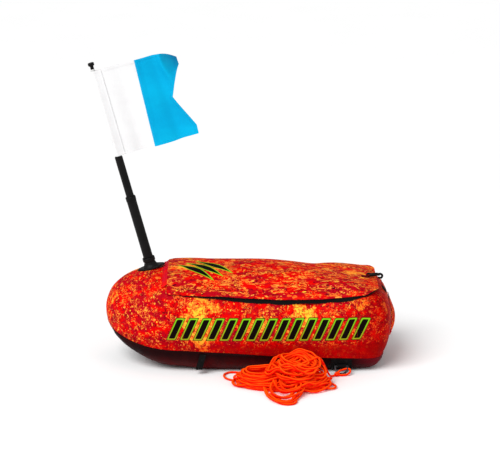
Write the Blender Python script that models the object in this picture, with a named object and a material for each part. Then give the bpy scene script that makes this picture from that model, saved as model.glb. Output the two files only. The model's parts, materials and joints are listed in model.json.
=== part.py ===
# Spearfishing float: an inflatable hull in a printed fabric cover, with a cargo
# pocket under a long top lid, a telescopic flag mast at the nose, an inflation
# valve under a stern flap, rigging rings under the belly and a heap of float line.
# Metres, +Z up.  The nose points to -X, the stern to +X, the port side to -Y.
# The float lies on the flat of its belly, whose middle is the origin.
import bpy
import bmesh
import math
import numpy as np
from mathutils import Matrix, Vector

# ----------------------------------------------------------------- dimensions
NOSE_POLE = -0.165        # where the nose dome meets the middle of the hull
STERN_POLE = 0.262        # where the middle of the hull meets the stern dome
NOSE_REACH = 0.180        # seam at the nose tip, ahead of the nose pole
STERN_REACH = 0.063       # seam at the stern, behind the stern pole
HALF_WIDTH = 0.136        # at the seam between printed upper and belly
NOSE_SEAM_Z = 0.092
STERN_SEAM_Z = 0.033
COVER_T = 0.0015          # cover fabric
BLADDER_GAP = 0.0036      # cover's outer face to bladder
BLADDER_T = 0.0012        # bladder wall
EDGE_TRIM = 0.0002        # half the gap between two cover panels
POCKET_FLOOR = 0.150
POCKET_X0, POCKET_X1 = -0.1630, 0.2600
POCKET_R = 0.55           # pocket's half width as a share of the hull's
LINER_T = 0.0015

LID_X0, LID_X1 = -0.198, 0.307
LID_T = 0.0030
LID_HALF = 0.118
LID_CORNER = 0.040        # length of the rounding at the lid's rear corners

LEAN = math.radians(15.2)         # mast lean towards the nose
MAST_BASE = (-0.2400, 0.0, 0.2268)  # where the mast's axis meets its base plate
PLATE_LEN, PLATE_W, PLATE_T = 0.070, 0.042, 0.004
SOCKET_R, SOCKET_TOP = 0.0135, 0.026
RING_R, RING_H = 0.0150, 0.009
LOWER_R, LOWER_BORE, LOWER_TOP = 0.0118, 0.0102, 0.184
MIDDLE_R, MIDDLE_TOP = 0.0095, 0.285
TELESCOPE_SPARE = 0.060   # length of the middle tube kept inside the lower one
ROD_R, ROD_TOP = 0.0045, 0.505
CAP_R, CAP_TOP = 0.0075, 0.521
FLAG_HOIST0, FLAG_HOIST1 = 0.2875, 0.5005
FLAG_FLY = 0.214
FLAG_NOTCH = 0.038
FLAG_BORE = 0.0050
FLAG_T = 0.0012

FLAP_TOP, FLAP_BOTTOM, FLAP_HALF, FLAP_T = 0.152, 0.064, 0.045, 0.002
VALVE_Z = 0.106

LINE_D = 0.005            # float line
HEAP_C = (0.090, -0.2330)
HEAP_RX, HEAP_RY, HEAP_H = 0.148, 0.100, 0.074

RING_WIRE = 0.0025        # radius of the stainless rings' wire
RING_TAB_X = 0.219        # rear webbing tabs
LOOP_X = -0.112           # front webbing loops

# ------------------------------------------------------------ start from empty
for old in list(bpy.data.objects):
    bpy.data.objects.remove(old, do_unlink=True)
SCENE = bpy.context.scene.collection

MATERIALS = {
    "print": ((0.80, 0.045, 0.02), 0.62, 0.0),
    "belly": ((0.17, 0.006, 0.012), 0.6, 0.0),
    "liner": ((0.03, 0.03, 0.032), 0.75, 0.0),
    "bladder": ((0.62, 0.03, 0.02), 0.4, 0.0),
    "black": ((0.012, 0.012, 0.013), 0.38, 0.0),
    "webbing": ((0.010, 0.010, 0.011), 0.8, 0.0),
    "steel": ((0.62, 0.62, 0.63), 0.25, 1.0),
    "line": ((1.0, 0.09, 0.01), 0.55, 0.0),
    "flag_white": ((0.86, 0.87, 0.88), 0.45, 0.0),
    "flag_blue": ((0.0, 0.42, 0.80), 0.45, 0.0),
    "elastic": ((0.015, 0.015, 0.017), 0.7, 0.0),
}


def material(name):
    m = bpy.data.materials.get(name)
    if m is None:
        colour, rough, metal = MATERIALS[name]
        m = bpy.data.materials.new(name)
        m.use_nodes = True
        b = m.node_tree.nodes["Principled BSDF"]
        b.inputs["Base Color"].default_value = (*colour, 1.0)
        b.inputs["Roughness"].default_value = rough
        b.inputs["Metallic"].default_value = metal
        m.diffuse_color = (*colour, 1.0)
    return m


def close_up(bm):
    bmesh.ops.remove_doubles(bm, verts=bm.verts, dist=1e-6)
    bmesh.ops.dissolve_degenerate(bm, edges=bm.edges, dist=1e-7)
    bmesh.ops.recalc_face_normals(bm, faces=bm.faces)
    if bm.calc_volume(signed=True) < 0:
        bmesh.ops.reverse_faces(bm, faces=bm.faces)


def make(name, verts, faces, mat, origin=(0, 0, 0), smooth=40):
    bm = bmesh.new()
    vs = [bm.verts.new(Vector(v) - Vector(origin)) for v in verts]
    for f in faces:
        if len(set(f)) >= 3:
            bm.faces.new([vs[i] for i in f])
    close_up(bm)
    me = bpy.data.meshes.new(name)
    bm.to_mesh(me)
    bm.free()
    return place(name, me, mat, origin, smooth)


def place(name, me, mat, origin=(0, 0, 0), smooth=40):
    ob = bpy.data.objects.new(name, me)
    ob.location = origin
    SCENE.objects.link(ob)
    me.materials.clear()
    me.materials.append(material(mat))
    if smooth:
        me.shade_smooth()
        me.set_sharp_from_angle(angle=math.radians(smooth))
    return ob


def boolean(ob, cutter, op="DIFFERENCE", keep=False):
    bpy.context.view_layer.update()
    mod = ob.modifiers.new("cut", "BOOLEAN")
    mod.operation = op
    mod.solver = "EXACT"
    mod.object = cutter
    dg = bpy.context.evaluated_depsgraph_get()
    new = bpy.data.meshes.new_from_object(ob.evaluated_get(dg))
    ob.modifiers.remove(mod)
    old = ob.data
    ob.data = new
    bpy.data.meshes.remove(old)
    if not keep:
        bpy.data.objects.remove(cutter, do_unlink=True)
    bm = bmesh.new()
    bm.from_mesh(ob.data)
    bmesh.ops.remove_doubles(bm, verts=bm.verts, dist=1e-6)
    bmesh.ops.dissolve_degenerate(bm, edges=bm.edges, dist=1e-6)
    bm.to_mesh(ob.data)
    bm.free()
    while len(ob.data.materials) > 1:
        ob.data.materials.pop()
    return ob


def table(x, xs, ys):
    """Smooth curve through the points (xs, ys), without overshoot."""
    xs, ys = np.asarray(xs, float), np.asarray(ys, float)
    h, d = np.diff(xs), np.diff(ys) / np.diff(xs)
    m = np.zeros(len(xs))
    m[0], m[-1] = d[0], d[-1]
    for i in range(1, len(xs) - 1):
        if d[i - 1] * d[i] > 0:
            w1, w2 = 2 * h[i] + h[i - 1], h[i] + 2 * h[i - 1]
            m[i] = (w1 + w2) / (w1 / d[i - 1] + w2 / d[i])
    x = min(max(float(x), xs[0]), xs[-1])
    i = min(int(np.searchsorted(xs, x, side="right")) - 1, len(xs) - 2)
    t = (x - xs[i]) / h[i]
    return float(
        (2 * t**3 - 3 * t**2 + 1) * ys[i]
        + (t**3 - 2 * t**2 + t) * h[i] * m[i]
        + (3 * t**2 - 2 * t**3) * ys[i + 1]
        + (t**3 - t**2) * h[i] * m[i + 1]
    )


# -------------------------------------------------------------- hull's surface
# Sections from the seam (first) to the crown (last): share of the half width,
# share of the height between seam and crown.
FULL = [(1, 0), (1.035, .16), (1.04, .33), (1.01, .51), (.955, .655), (.885, .76), (.79, .84), (.68, .895), (.55, .935), (.28, .98), (0, 1)]
NOSE = [(1, 0), (1.028, .17), (1.022, .35), (.975, .53), (.90, .67), (.80, .78), (.67, .865), (.52, .92), (.36, .955), (.18, .985), (0, 1)]
DECK = [(1, 0), (1.035, .14), (1.045, .28), (1.03, .42), (.985, .545), (.91, .64), (.82, .735), (.70, .82), (.55, .895), (.28, .97), (0, 1)]
AFT = [(1, 0), (1.04, .18), (1.06, .37), (1.055, .56), (1.04, .72), (1.0, .83), (.93, .905), (.80, .955), (.55, .985), (.28, .995), (0, 1)]
STERN = [(1, 0), (1.12, .10), (1.22, .23), (1.285, .40), (1.27, .56), (1.19, .70), (1.05, .81), (.85, .89), (.60, .95), (.30, .985), (0, 1)]
# the same below the seam, from the seam (first) to the keel line (last)
BELLY = [(1, 0), (.975, .30), (.93, .56), (.86, .78), (.78, .92), (.70, 1), (.50, 1), (.25, 1), (0, 1)]
NOSE_BELLY = [(1, 0), (.965, .15), (.90, .29), (.80, .42), (.68, .54), (.55, .66), (.40, .78), (.20, .91), (0, 1)]
STERN_BELLY = [(1, 0), (.96, .30), (.89, .56), (.80, .78), (.70, .92), (.58, 1), (.40, 1), (.20, 1), (0, 1)]


def lid_top(x):
    return table(x, [-.198, -.165, -.102, -.053, 0, .04, .086, .152, .208, .262, .29, .313],
                 [.2335, .2355, .2390, .2405, .2410, .2400, .2360, .2260, .2180, .2100, .2040, .1985])


def lid_edge(x):
    return table(x, [-.198, -.148, -.053, 0, .04, .096, .152, .208, .25, .285, .313],
                 [.1945, .1918, .1885, .1850, .1830, .1815, .1820, .1860, .1905, .1940, .1960])


def lid_power(x):
    return table(x, [-.198, -.155, -.09, .05, .15, .25, .313], [3.6, 3.6, 2.7, 2.4, 2.9, 9.0, 9.0])


def crown(x):
    gap = table(x, [-.165, -.12, -.06, .20, .262], [.0012, .0050, .0085, .0085, .0040])
    return lid_top(x) - LID_T - gap


def seam_z(x):
    return table(x, [-.165, -.053, 0, .07, .19, .262], [.0575, .0525, .0490, .0440, .0395, .0350])


def half_width(x):
    return table(x, [-.165, -.06, .09, .19, .262], [.1320, HALF_WIDTH, HALF_WIDTH, .1320, .1230])


def keel_z(x):
    return 0.0 if x > -0.10 else 0.075 * ((-0.10 - x) / 0.245) ** 1.8


def mix(a, b, t):
    return [((1 - t) * p[0] + t * q[0], (1 - t) * p[1] + t * q[1]) for p, q in zip(a, b)]


def mid_column(x, side):
    """Upper and belly points of the section at x; side is -1 (port) or +1."""
    w, zs, zt, zk = half_width(x), seam_z(x), crown(x), keel_z(x)
    f = min(max((x - NOSE_POLE) / 0.075, 0), 1)
    a = min(max((x - 0.13) / (STERN_POLE - 0.13), 0), 1)
    f, a = f * f * (3 - 2 * f), a * a * (3 - 2 * a)
    up = mix(mix(FULL, DECK, f), AFT, a)
    return ([(x, side * r * w, zs + h * (zt - zs)) for r, h in up],
            [(x, side * r * w, zs - h * (zs - zk)) for r, h in BELLY])


def nose_column(angle):
    """angle 0 is the nose tip, -90 and +90 degrees the port and starboard ends."""
    ca, sa = math.cos(angle), math.sin(angle)
    dx, dy = -NOSE_REACH * ca, half_width(NOSE_POLE) * sa
    t = ca * ca
    zs = seam_z(NOSE_POLE) + (NOSE_SEAM_Z - seam_z(NOSE_POLE)) * ca ** 2.2
    zt, zk = crown(NOSE_POLE), keel_z(NOSE_POLE)
    return ([(NOSE_POLE + r * dx, r * dy, zs + h * (zt - zs)) for r, h in mix(FULL, NOSE, t)],
            [(NOSE_POLE + r * dx, r * dy, zs - h * (zs - zk)) for r, h in mix(BELLY, NOSE_BELLY, t)])


def stern_column(angle):
    ca, sa = math.cos(angle), math.sin(angle)
    p = 0.58
    dx = STERN_REACH * abs(ca) ** p
    dy = half_width(STERN_POLE) * math.copysign(abs(sa) ** p, sa)
    t = abs(ca) ** 1.2
    zs = seam_z(STERN_POLE) + (STERN_SEAM_Z - seam_z(STERN_POLE)) * t
    zt = crown(STERN_POLE)
    return ([(STERN_POLE + r * dx, r * dy, zs + h * (zt - zs)) for r, h in mix(AFT, STERN, t)],
            [(STERN_POLE + r * dx, r * dy, zs - h * zs) for r, h in mix(BELLY, STERN_BELLY, t)])


N_NOSE, N_MID, N_STERN = 8, 12, 6   # intervals from end to middle, middle, and stern
angles_nose = [math.pi / 2 * i / N_NOSE for i in range(-N_NOSE, N_NOSE + 1)]
angles_stern = [math.pi / 2 * i / N_STERN for i in range(-N_STERN, N_STERN + 1)]
mid_x = [NOSE_POLE + (STERN_POLE - NOSE_POLE) * i / N_MID for i in range(N_MID + 1)]

# All columns once round the hull, from the nose tip down the port side, round
# the stern and back along starboard.
RINGS = []
RINGS += [nose_column(a) for a in angles_nose[N_NOSE:0:-1]]                     # tip to port
RINGS += [mid_column(x, -1) for x in mid_x]
RINGS += [stern_column(a) for a in angles_stern[1:-1]]
RINGS += [mid_column(x, 1) for x in mid_x[::-1]]
RINGS += [nose_column(a) for a in angles_nose[-2:N_NOSE:-1]]                    # starboard to tip
# port nose columns come from negative angles
RINGS[:N_NOSE] = [nose_column(a) for a in [-math.pi / 2 * i / N_NOSE for i in range(N_NOSE)]]
UP = np.array([c[0] for c in RINGS])
DOWN = np.array([c[1] for c in RINGS])
COLS = len(RINGS)
I_PORT0 = N_NOSE                       # first port middle column
I_PORT1 = N_NOSE + N_MID               # last one, at the stern pole
I_STAR0 = I_PORT1 + 2 * N_STERN        # first starboard middle column, at the stern pole
I_STAR1 = I_STAR0 + N_MID              # last one, at the nose pole


def grid_normals(up, down):
    """Vertex normals of the whole closed hull, for both grids."""
    n, mu, md = up.shape[0], up.shape[1], down.shape[1]
    pts, index = [], {}

    def vid(p):
        k = tuple(np.round(np.asarray(p) * 1e6).astype(int))
        if k not in index:
            index[k] = len(pts)
            pts.append(np.asarray(p, float))
        return index[k]

    iu = [[vid(up[i, j]) for j in range(mu)] for i in range(n)]
    idn = [[vid(down[i, j]) for j in range(md)] for i in range(n)]
    acc = np.zeros((len(pts), 3))
    P = np.array(pts)
    for grid, m, sign in ((iu, mu, 1.0), (idn, md, -1.0)):
        for i in range(n):
            k = (i + 1) % n
            for j in range(m - 1):
                q = [grid[i][j], grid[k][j], grid[k][j + 1], grid[i][j + 1]]
                nrm = np.cross(P[q[2]] - P[q[0]], P[q[3]] - P[q[1]]) * sign
                for v in q:
                    acc[v] += nrm
    acc /= np.maximum(np.linalg.norm(acc, axis=1, keepdims=True), 1e-12)
    # point them away from the hull's middle
    c = np.array([0.0, 0.0, 0.11])
    if np.mean(np.sum(acc * (P - c), axis=1)) < 0:
        acc = -acc
    nu = np.array([[acc[iu[i][j]] for j in range(mu)] for i in range(n)])
    nd = np.array([[acc[idn[i][j]] for j in range(md)] for i in range(n)])
    return nu, nd


NUP, NDOWN = grid_normals(UP, DOWN)


def shell(name, outer, inner, mat):
    """Closed solid between two equal grids of points, [column][row]."""
    n, m = outer.shape[0], outer.shape[1]
    verts = [tuple(p) for p in outer.reshape(-1, 3)] + [tuple(p) for p in inner.reshape(-1, 3)]
    o = lambda i, j: i * m + j
    k = lambda i, j: n * m + i * m + j
    faces = []
    for i in range(n - 1):
        for j in range(m - 1):
            faces.append((o(i, j), o(i + 1, j), o(i + 1, j + 1), o(i, j + 1)))
            faces.append((k(i, j), k(i, j + 1), k(i + 1, j + 1), k(i + 1, j)))
    for i in range(n - 1):
        faces.append((o(i, 0), k(i, 0), k(i + 1, 0), o(i + 1, 0)))
        faces.append((o(i, m - 1), o(i + 1, m - 1), k(i + 1, m - 1), k(i, m - 1)))
    for j in range(m - 1):
        faces.append((o(0, j), o(0, j + 1), k(0, j + 1), k(0, j)))
        faces.append((o(n - 1, j), k(n - 1, j), k(n - 1, j + 1), o(n - 1, j + 1)))
    return make(name, verts, faces, mat)


def clamp_x(g, lo, hi):
    g = g.copy()
    g[..., 0] = np.clip(g[..., 0], lo, hi)
    return g


def panel(name, cols, rows, lo, hi, mat, fix=None):
    out = UP[cols][:, rows].copy()
    inn = out - COVER_T * NUP[cols][:, rows]
    for g in (out, inn):
        g[:, 0, 2] += EDGE_TRIM if rows.start in (0, None) else 0
    return shell(name, clamp_x(out, lo, hi), clamp_x(inn, lo, hi), mat)


# ------------------------------------------------------------- cover and belly
nose_cols = [(I_STAR1 + i) % COLS for i in range(2 * N_NOSE + 1)]
nose_cover = panel("nose_cover", nose_cols, slice(0, 11), -1, NOSE_POLE - EDGE_TRIM, "print")
stern_cols = list(range(I_PORT1, I_STAR0 + 1))
stern_cover = panel("stern_cover", stern_cols, slice(0, 11), STERN_POLE + EDGE_TRIM, 1, "print")
port_cols = list(range(I_PORT0, I_PORT1 + 1))
star_cols = list(range(I_STAR0, I_STAR1 + 1))
side_panel_port = panel("side_panel_port", port_cols, slice(0, 9), NOSE_POLE + EDGE_TRIM, STERN_POLE - EDGE_TRIM, "print")
side_panel_starboard = panel("side_panel_starboard", star_cols, slice(0, 9), NOSE_POLE + EDGE_TRIM, STERN_POLE - EDGE_TRIM, "print")


def belly():
    """The whole underside in one closed solid, from seam to seam."""
    n, m = DOWN.shape[0], DOWN.shape[1]
    out = DOWN.copy()
    inn = DOWN - COVER_T * NDOWN
    flat = DOWN[..., 2] < 1e-6
    inn[..., 2] = np.where(flat, COVER_T, inn[..., 2])
    inn[..., 0] = np.where(flat, DOWN[..., 0], inn[..., 0])
    inn[..., 1] = np.where(flat, DOWN[..., 1], inn[..., 1])
    out[:, 0, 2] -= EDGE_TRIM
    inn[:, 0] = DOWN[:, 0] - COVER_T * NDOWN[:, 0]
    inn[:, 0, 2] = out[:, 0, 2]
    # the keel row is shared by port and starboard columns
    for i in range(n):
        inn[i, m - 1, 1] = 0.0
    verts = [tuple(p) for p in out.reshape(-1, 3)] + [tuple(p) for p in inn.reshape(-1, 3)]
    faces = []
    for i in range(n):
        k = (i + 1) % n
        for j in range(m - 1):
            faces.append((i * m + j, k * m + j, k * m + j + 1, i * m + j + 1))
            faces.append((n * m + i * m + j, n * m + i * m + j + 1, n * m + k * m + j + 1, n * m + k * m + j))
        faces.append((i * m, n * m + i * m, n * m + k * m, k * m))
    return make("belly_panel", verts, faces, "belly")


belly_panel = belly()

# ------------------------------------------------------------------ the pocket


def deck_z(x, y):
    """Height of the hull's surface over the pocket's opening and its rim."""
    up = mid_column(x, 1)[0]
    ys, zs = [p[1] for p in up[::-1]], [p[2] for p in up[::-1]]
    return float(np.interp(abs(y), ys[:5], zs[:5]))


def pocket_outline(grow, cut=0.010):
    """Points once round the pocket, with rounded corners, grown outwards."""
    x0, x1 = POCKET_X0 - grow, POCKET_X1 + grow
    xs = [x0 + cut + (x1 - x0 - 2 * cut) * i / 10 for i in range(11)]
    half = lambda x: POCKET_R * half_width(min(max(x, NOSE_POLE), STERN_POLE)) - 0.0012 + grow
    side = [(x, -half(x)) for x in xs]
    hf, hr = half(x0), half(x1)
    rear = [(x1, -hr + cut), (x1, -hr * 0.4), (x1, hr * 0.4), (x1, hr - cut)]
    front = [(x0, hf - cut), (x0, hf * 0.4), (x0, -hf * 0.4), (x0, -hf + cut)]
    return side + rear + [(x, -y) for x, y in side[::-1]] + front


def liner():
    a, b = pocket_outline(0.0), pocket_outline(-LINER_T)
    n = len(a)
    lip = lambda p: deck_z(min(max(p[0], NOSE_POLE), STERN_POLE), p[1]) - 0.0022
    verts = [(x, y, POCKET_FLOOR) for x, y in a] + [(x, y, lip((x, y))) for x, y in a]
    verts += [(x, y, lip((x, y))) for x, y in b] + [(x, y, POCKET_FLOOR + LINER_T) for x, y in b]
    faces = [tuple(range(n))[::-1], tuple(range(3 * n, 4 * n))]
    for r in range(3):
        for i in range(n):
            k = (i + 1) % n
            faces.append((r * n + i, r * n + k, (r + 1) * n + k, (r + 1) * n + i))
    return make("pocket_liner", verts, faces, "liner", smooth=30)


pocket_liner = liner()


def prism(name, outline, z0, z1):
    n = len(outline)
    verts = [(x, y, z0) for x, y in outline] + [(x, y, z1) for x, y in outline]
    faces = [tuple(range(n))[::-1], tuple(range(n, 2 * n))]
    faces += [(i, (i + 1) % n, n + (i + 1) % n, n + i) for i in range(n)]
    return make(name, verts, faces, "bladder", smooth=0)


# ------------------------------------------------------- bladder and its valve
def hull_solid(name, inset):
    """Closed body a given depth inside the cover's outer face."""
    ci = list(range(COLS))
    ru, rd = [0, 2, 4, 6, 8, 10], [0, 2, 3, 4, 5, 8]
    up = (UP - inset * NUP)[ci][:, ru]
    dn = DOWN - inset * NDOWN
    dn[..., 2] = np.maximum(dn[..., 2], inset)
    dn = dn[ci][:, rd]
    up[:, -1, 1] = 0.0
    dn[:, -1, 1] = 0.0
    dn[:, 0] = up[:, 0]
    n, mu, md = len(ci), len(ru), len(rd)
    verts = [tuple(p) for p in up.reshape(-1, 3)] + [tuple(p) for p in dn.reshape(-1, 3)]
    faces = []
    for i in range(n):
        k = (i + 1) % n
        for j in range(mu - 1):
            faces.append((i * mu + j, k * mu + j, k * mu + j + 1, i * mu + j + 1))
        for j in range(md - 1):
            faces.append((n * mu + i * md + j, n * mu + i * md + j + 1, n * mu + k * md + j + 1, n * mu + k * md + j))
    return make(name, verts, faces, "bladder", smooth=0)


def turned(name, profile, origin, axis, mat, steps=24, smooth=40, spin=0.0):
    """Solid of revolution: profile of (radius, height) from outside bottom on;
    closed on the axis where a radius is 0, otherwise a ring."""
    q = Vector((0, 0, 1)).rotation_difference(Vector(axis).normalized())
    closed = profile[0][0] > 1e-9
    verts, faces = [], []
    m = len(profile)
    for s in range(steps):
        a = 2 * math.pi * s / steps + spin
        for r, h in profile:
            p = q @ Vector((r * math.cos(a), r * math.sin(a), h))
            verts.append(tuple(Vector(origin) + p))
    for s in range(steps):
        k = (s + 1) % steps
        for j in range(m if closed else m - 1):
            l = (j + 1) % m
            faces.append((s * m + j, k * m + j, k * m + l, s * m + l))
    return make(name, verts, faces, mat, origin=origin, smooth=smooth)


bladder = hull_solid("bladder", BLADDER_GAP)
boolean(bladder, prism("recess", pocket_outline(0.0004, 0.0020), POCKET_FLOOR - 0.0008, 0.30))
cavity = hull_solid("cavity", BLADDER_GAP + BLADDER_T)
boolean(cavity, prism("recess_inner", pocket_outline(0.0004 + BLADDER_T, 0.0022), POCKET_FLOOR - 0.0008 - BLADDER_T, 0.30))
boolean(bladder, cavity)

stern_x = float(STERN_POLE + 1.285 * STERN_REACH)      # stern's outer face at the valve
VALVE = (stern_x, 0.0, VALVE_Z)
port = turned("port_hole", [(0, -0.030), (0.0100, -0.030), (0.0100, 0.010), (0, 0.010)], VALVE, (1, 0, 0), "bladder")
boolean(bladder, port)
port = turned("port_hole", [(0, -0.030), (0.0100, -0.030), (0.0100, 0.010), (0, 0.010)], VALVE, (1, 0, 0), "bladder")
boolean(stern_cover, port)
inflation_valve = turned(
    "inflation_valve",
    [(0.0019, -0.016), (0.0080, -0.016), (0.0092, -0.012), (0.0092, 0.0006), (0.0150, 0.0006), (0.0155, 0.0010),
     (0.0150, 0.0020), (0.0062, 0.0020), (0.0062, -0.002), (0.0019, -0.002)],
    VALVE, (1, 0, 0), "black")
valve_cap = turned(
    "valve_cap",
    [(0, -0.0012), (0.0056, -0.0012), (0.0056, 0.0024), (0.0098, 0.0024), (0.0102, 0.0030), (0.0098, 0.0056), (0.0085, 0.0062), (0, 0.0062)],
    VALVE, (1, 0, 0), "black")

# ------------------------------------------------------------- the stern flap
def strip(name, path, half, t, mat, origin=(0, 0, 0), taper=None):
    """A sheet with its side view along path (x, z), as wide as 2*half in Y."""
    n = len(path)
    p = np.array(path, float)
    tan = np.gradient(p, axis=0)
    tan /= np.linalg.norm(tan, axis=1, keepdims=True)
    nrm = np.stack([-tan[:, 1], tan[:, 0]], 1)
    a, b = p, p + t * nrm
    verts = []
    for i in range(n):
        h = half if taper is None else half * taper[i]
        for s in (-h, h):
            verts.append((a[i, 0], s, a[i, 1]))
            verts.append((b[i, 0], s, b[i, 1]))
    faces = []
    for i in range(n - 1):
        u, v = 4 * i, 4 * (i + 1)
        faces += [(u, v, v + 2, u + 2), (u + 1, u + 3, v + 3, v + 1), (u, u + 1, v + 1, v), (u + 2, v + 2, v + 3, u + 3)]
    e = 4 * (n - 1)
    faces += [(0, 2, 3, 1), (e, e + 1, e + 3, e + 2)]
    return make(name, verts, faces, mat, origin=origin, smooth=30)


FLAP_HINGE = (0.3415, 0.0, FLAP_TOP)
# from the bottom up, so that the thickness grows towards +X
flap_path = [(0.3522, FLAP_BOTTOM), (0.3512, 0.082), (0.3507, 0.100), (0.3503, 0.118), (0.3482, 0.134), (0.3445, 0.1445), (0.3420, FLAP_TOP)]
valve_flap = strip("valve_flap", flap_path[::-1], FLAP_HALF, FLAP_T, "print", origin=FLAP_HINGE,
                   taper=[1.0, 1.0, 1.0, 0.98, 0.96, 0.93, 0.88])

# --------------------------------------------------------------------- the lid


def lid_half(x):
    d = (x - (LID_X1 - LID_CORNER)) / LID_CORNER
    return LID_HALF if d <= 0 else LID_HALF * (1 - 0.27 * min(d, 1) ** 2.6)


def lid_z(x, y):
    s = min(abs(y) / LID_HALF, 1.0)
    return lid_top(x) - (lid_top(x) - lid_edge(x)) * s ** lid_power(x)


LID_HINGE = (LID_X0, 0.0, 0.2340)
lid_xs = [LID_X0 + (LID_X1 - LID_CORNER - LID_X0) * i / 12 for i in range(13)] + [0.275, 0.290, 0.300, LID_X1]
lid_s = [-1, -.86, -.68, -.46, -.23, 0, .23, .46, .68, .86, 1]
top = np.array([[(x, s * lid_half(x), lid_z(x, s * lid_half(x))) for s in lid_s] for x in lid_xs])
bottom = top.copy()
bottom[..., 2] -= LID_T
lid_panel = shell("lid_panel", top, bottom, "print")
lid_panel.data.transform(Matrix.Translation(-Vector(LID_HINGE)))
lid_panel.location = LID_HINGE


def edge_binding():
    """Folded tape round the lid's free edges, outside the panel's own edge."""
    gap, w, over = 0.0003, 0.0012, 0.0002
    pts = [(x, -lid_half(x)) for x in lid_xs[1:]] + [(LID_X1, s * lid_half(LID_X1)) for s in (-.5, 0, .5)]
    pts += [(x, lid_half(x)) for x in lid_xs[:0:-1]]
    p = np.array(pts)
    tan = np.gradient(p, axis=0)
    tan /= np.linalg.norm(tan, axis=1, keepdims=True)
    out = np.stack([tan[:, 1], -tan[:, 0]], 1)
    # corners of the rear edge point straight back and sideways
    verts = []
    for (x, y), o in zip(p, out):
        z = lid_z(x, y)
        for d, h in ((gap, over), (gap + w, over), (gap + w, -LID_T - over), (gap, -LID_T - over)):
            verts.append((x + o[0] * d, y + o[1] * d, z + h))
    faces = []
    n = len(p)
    for i in range(n - 1):
        for j in range(4):
            l = (j + 1) % 4
            faces.append((4 * i + j, 4 * (i + 1) + j, 4 * (i + 1) + l, 4 * i + l))
    faces += [(0, 1, 2, 3), (4 * n - 1, 4 * n - 2, 4 * n - 3, 4 * n - 4)]
    return make("lid_binding", verts, faces, "webbing", origin=LID_HINGE, smooth=30)


lid_binding = edge_binding()


def hinge_tape():
    """Seam tape across the hull along the lid's sewn front edge."""
    n = 12
    verts = []
    for i in range(n + 1):
        y = -0.098 + 0.196 * i / n
        # the nose cover's height just ahead of the lid
        for x, up in ((LID_X0 - 0.0125, 0), (LID_X0 - 0.0006, 0), (LID_X0 - 0.0006, 1), (LID_X0 - 0.0125, 1)):
            verts.append((x, y, nose_z(x, y) + 0.0015 + up * 0.0010))
    faces = []
    for i in range(n):
        for j in range(4):
            l = (j + 1) % 4
            faces.append((4 * i + j, 4 * (i + 1) + j, 4 * (i + 1) + l, 4 * i + l))
    faces += [(0, 1, 2, 3), (4 * n + 3, 4 * n + 2, 4 * n + 1, 4 * n)]
    return make("lid_seam_tape", verts, faces, "print", smooth=30)


def nose_z(x, y):
    """Height of the nose cover's top at a point, found along its own column."""
    dx, dy = (NOSE_POLE - x) / NOSE_REACH, y / half_width(NOSE_POLE)
    ang = math.atan2(dy, dx)
    col = nose_column(ang)[0]
    r_here = math.hypot(dx, dy)
    rs = [math.hypot((NOSE_POLE - p[0]) / NOSE_REACH, p[1] / half_width(NOSE_POLE)) for p in col]
    zs = [p[2] for p in col]
    return float(np.interp(r_here, rs[::-1][:8], zs[::-1][:8]))


lid_seam_tape = hinge_tape()

# ------------------------------------------------------------------- the mast
AXIS = Vector((-math.sin(LEAN), 0, math.cos(LEAN)))
FORE = Vector((-math.cos(LEAN), 0, -math.sin(LEAN)))   # across the mast, to the nose
BASE = Vector(MAST_BASE)


def along(s):
    return tuple(BASE + AXIS * s)


def base_plate():
    """Boat-shaped plate on the hull with a flared socket for the mast."""
    l, w, t = PLATE_LEN / 2, PLATE_W / 2, PLATE_T
    out = [(-l, 0.0), (-l * .93, -w * .30), (-l * .52, -w * .86), (0, -w), (l * .52, -w * .86), (l * .93, -w * .30),
           (l, 0.0), (l * .93, w * .30), (l * .52, w * .86), (0, w), (-l * .52, w * .86), (-l * .93, w * .30)]
    verts = []
    for z, k in ((0.0, 1.0), (t * .55, 1.0), (t, .90)):
        for u, v in out:
            p = BASE - FORE * (u * k) + Vector((0, v * k, 0)) + AXIS * z
            verts.append(tuple(p))
    n = len(out)
    faces = [tuple(range(n)), tuple(range(2 * n, 3 * n))]
    for r in range(2):
        faces += [(r * n + i, r * n + (i + 1) % n, (r + 1) * n + (i + 1) % n, (r + 1) * n + i) for i in range(n)]
    plate = make("mast_base", verts, faces, "black", smooth=30)
    foot = turned("foot", [(0, 0.001), (SOCKET_R + .0065, 0.001), (SOCKET_R + .0060, t + .0005), (SOCKET_R + .0018, t + .0055),
                           (SOCKET_R, t + .011), (SOCKET_R, SOCKET_TOP - RING_H), (SOCKET_R - .0022, SOCKET_TOP - RING_H),
                           (SOCKET_R - .0022, SOCKET_TOP), (0, SOCKET_TOP)], MAST_BASE, AXIS, "black")
    boolean(plate, foot, "UNION")
    hole = turned("hole", [(0, 0.006), (0.0104, 0.006), (0.0104, SOCKET_TOP + .01), (0, SOCKET_TOP + .01)], MAST_BASE, AXIS, "black")
    boolean(plate, hole)
    plate.data.materials.clear()
    plate.data.materials.append(material("black"))
    plate.data.shade_smooth()
    plate.data.set_sharp_from_angle(angle=math.radians(35))
    return plate


mast_base = base_plate()

RS = SOCKET_TOP - RING_H
mast_ring = turned("mast_lock_ring",
                   [(SOCKET_R - .0018, RS + .0004), (RING_R, RS + .0004), (RING_R + .0003, RS + .0015), (RING_R + .0003, SOCKET_TOP - .0008),
                    (RING_R - .0005, SOCKET_TOP + .0008), (LOWER_R + .0004, SOCKET_TOP + .0008), (LOWER_R + .0004, SOCKET_TOP - .0004),
                    (SOCKET_R - .0018, SOCKET_TOP - .0004)],
                   MAST_BASE, AXIS, "black")

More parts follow.
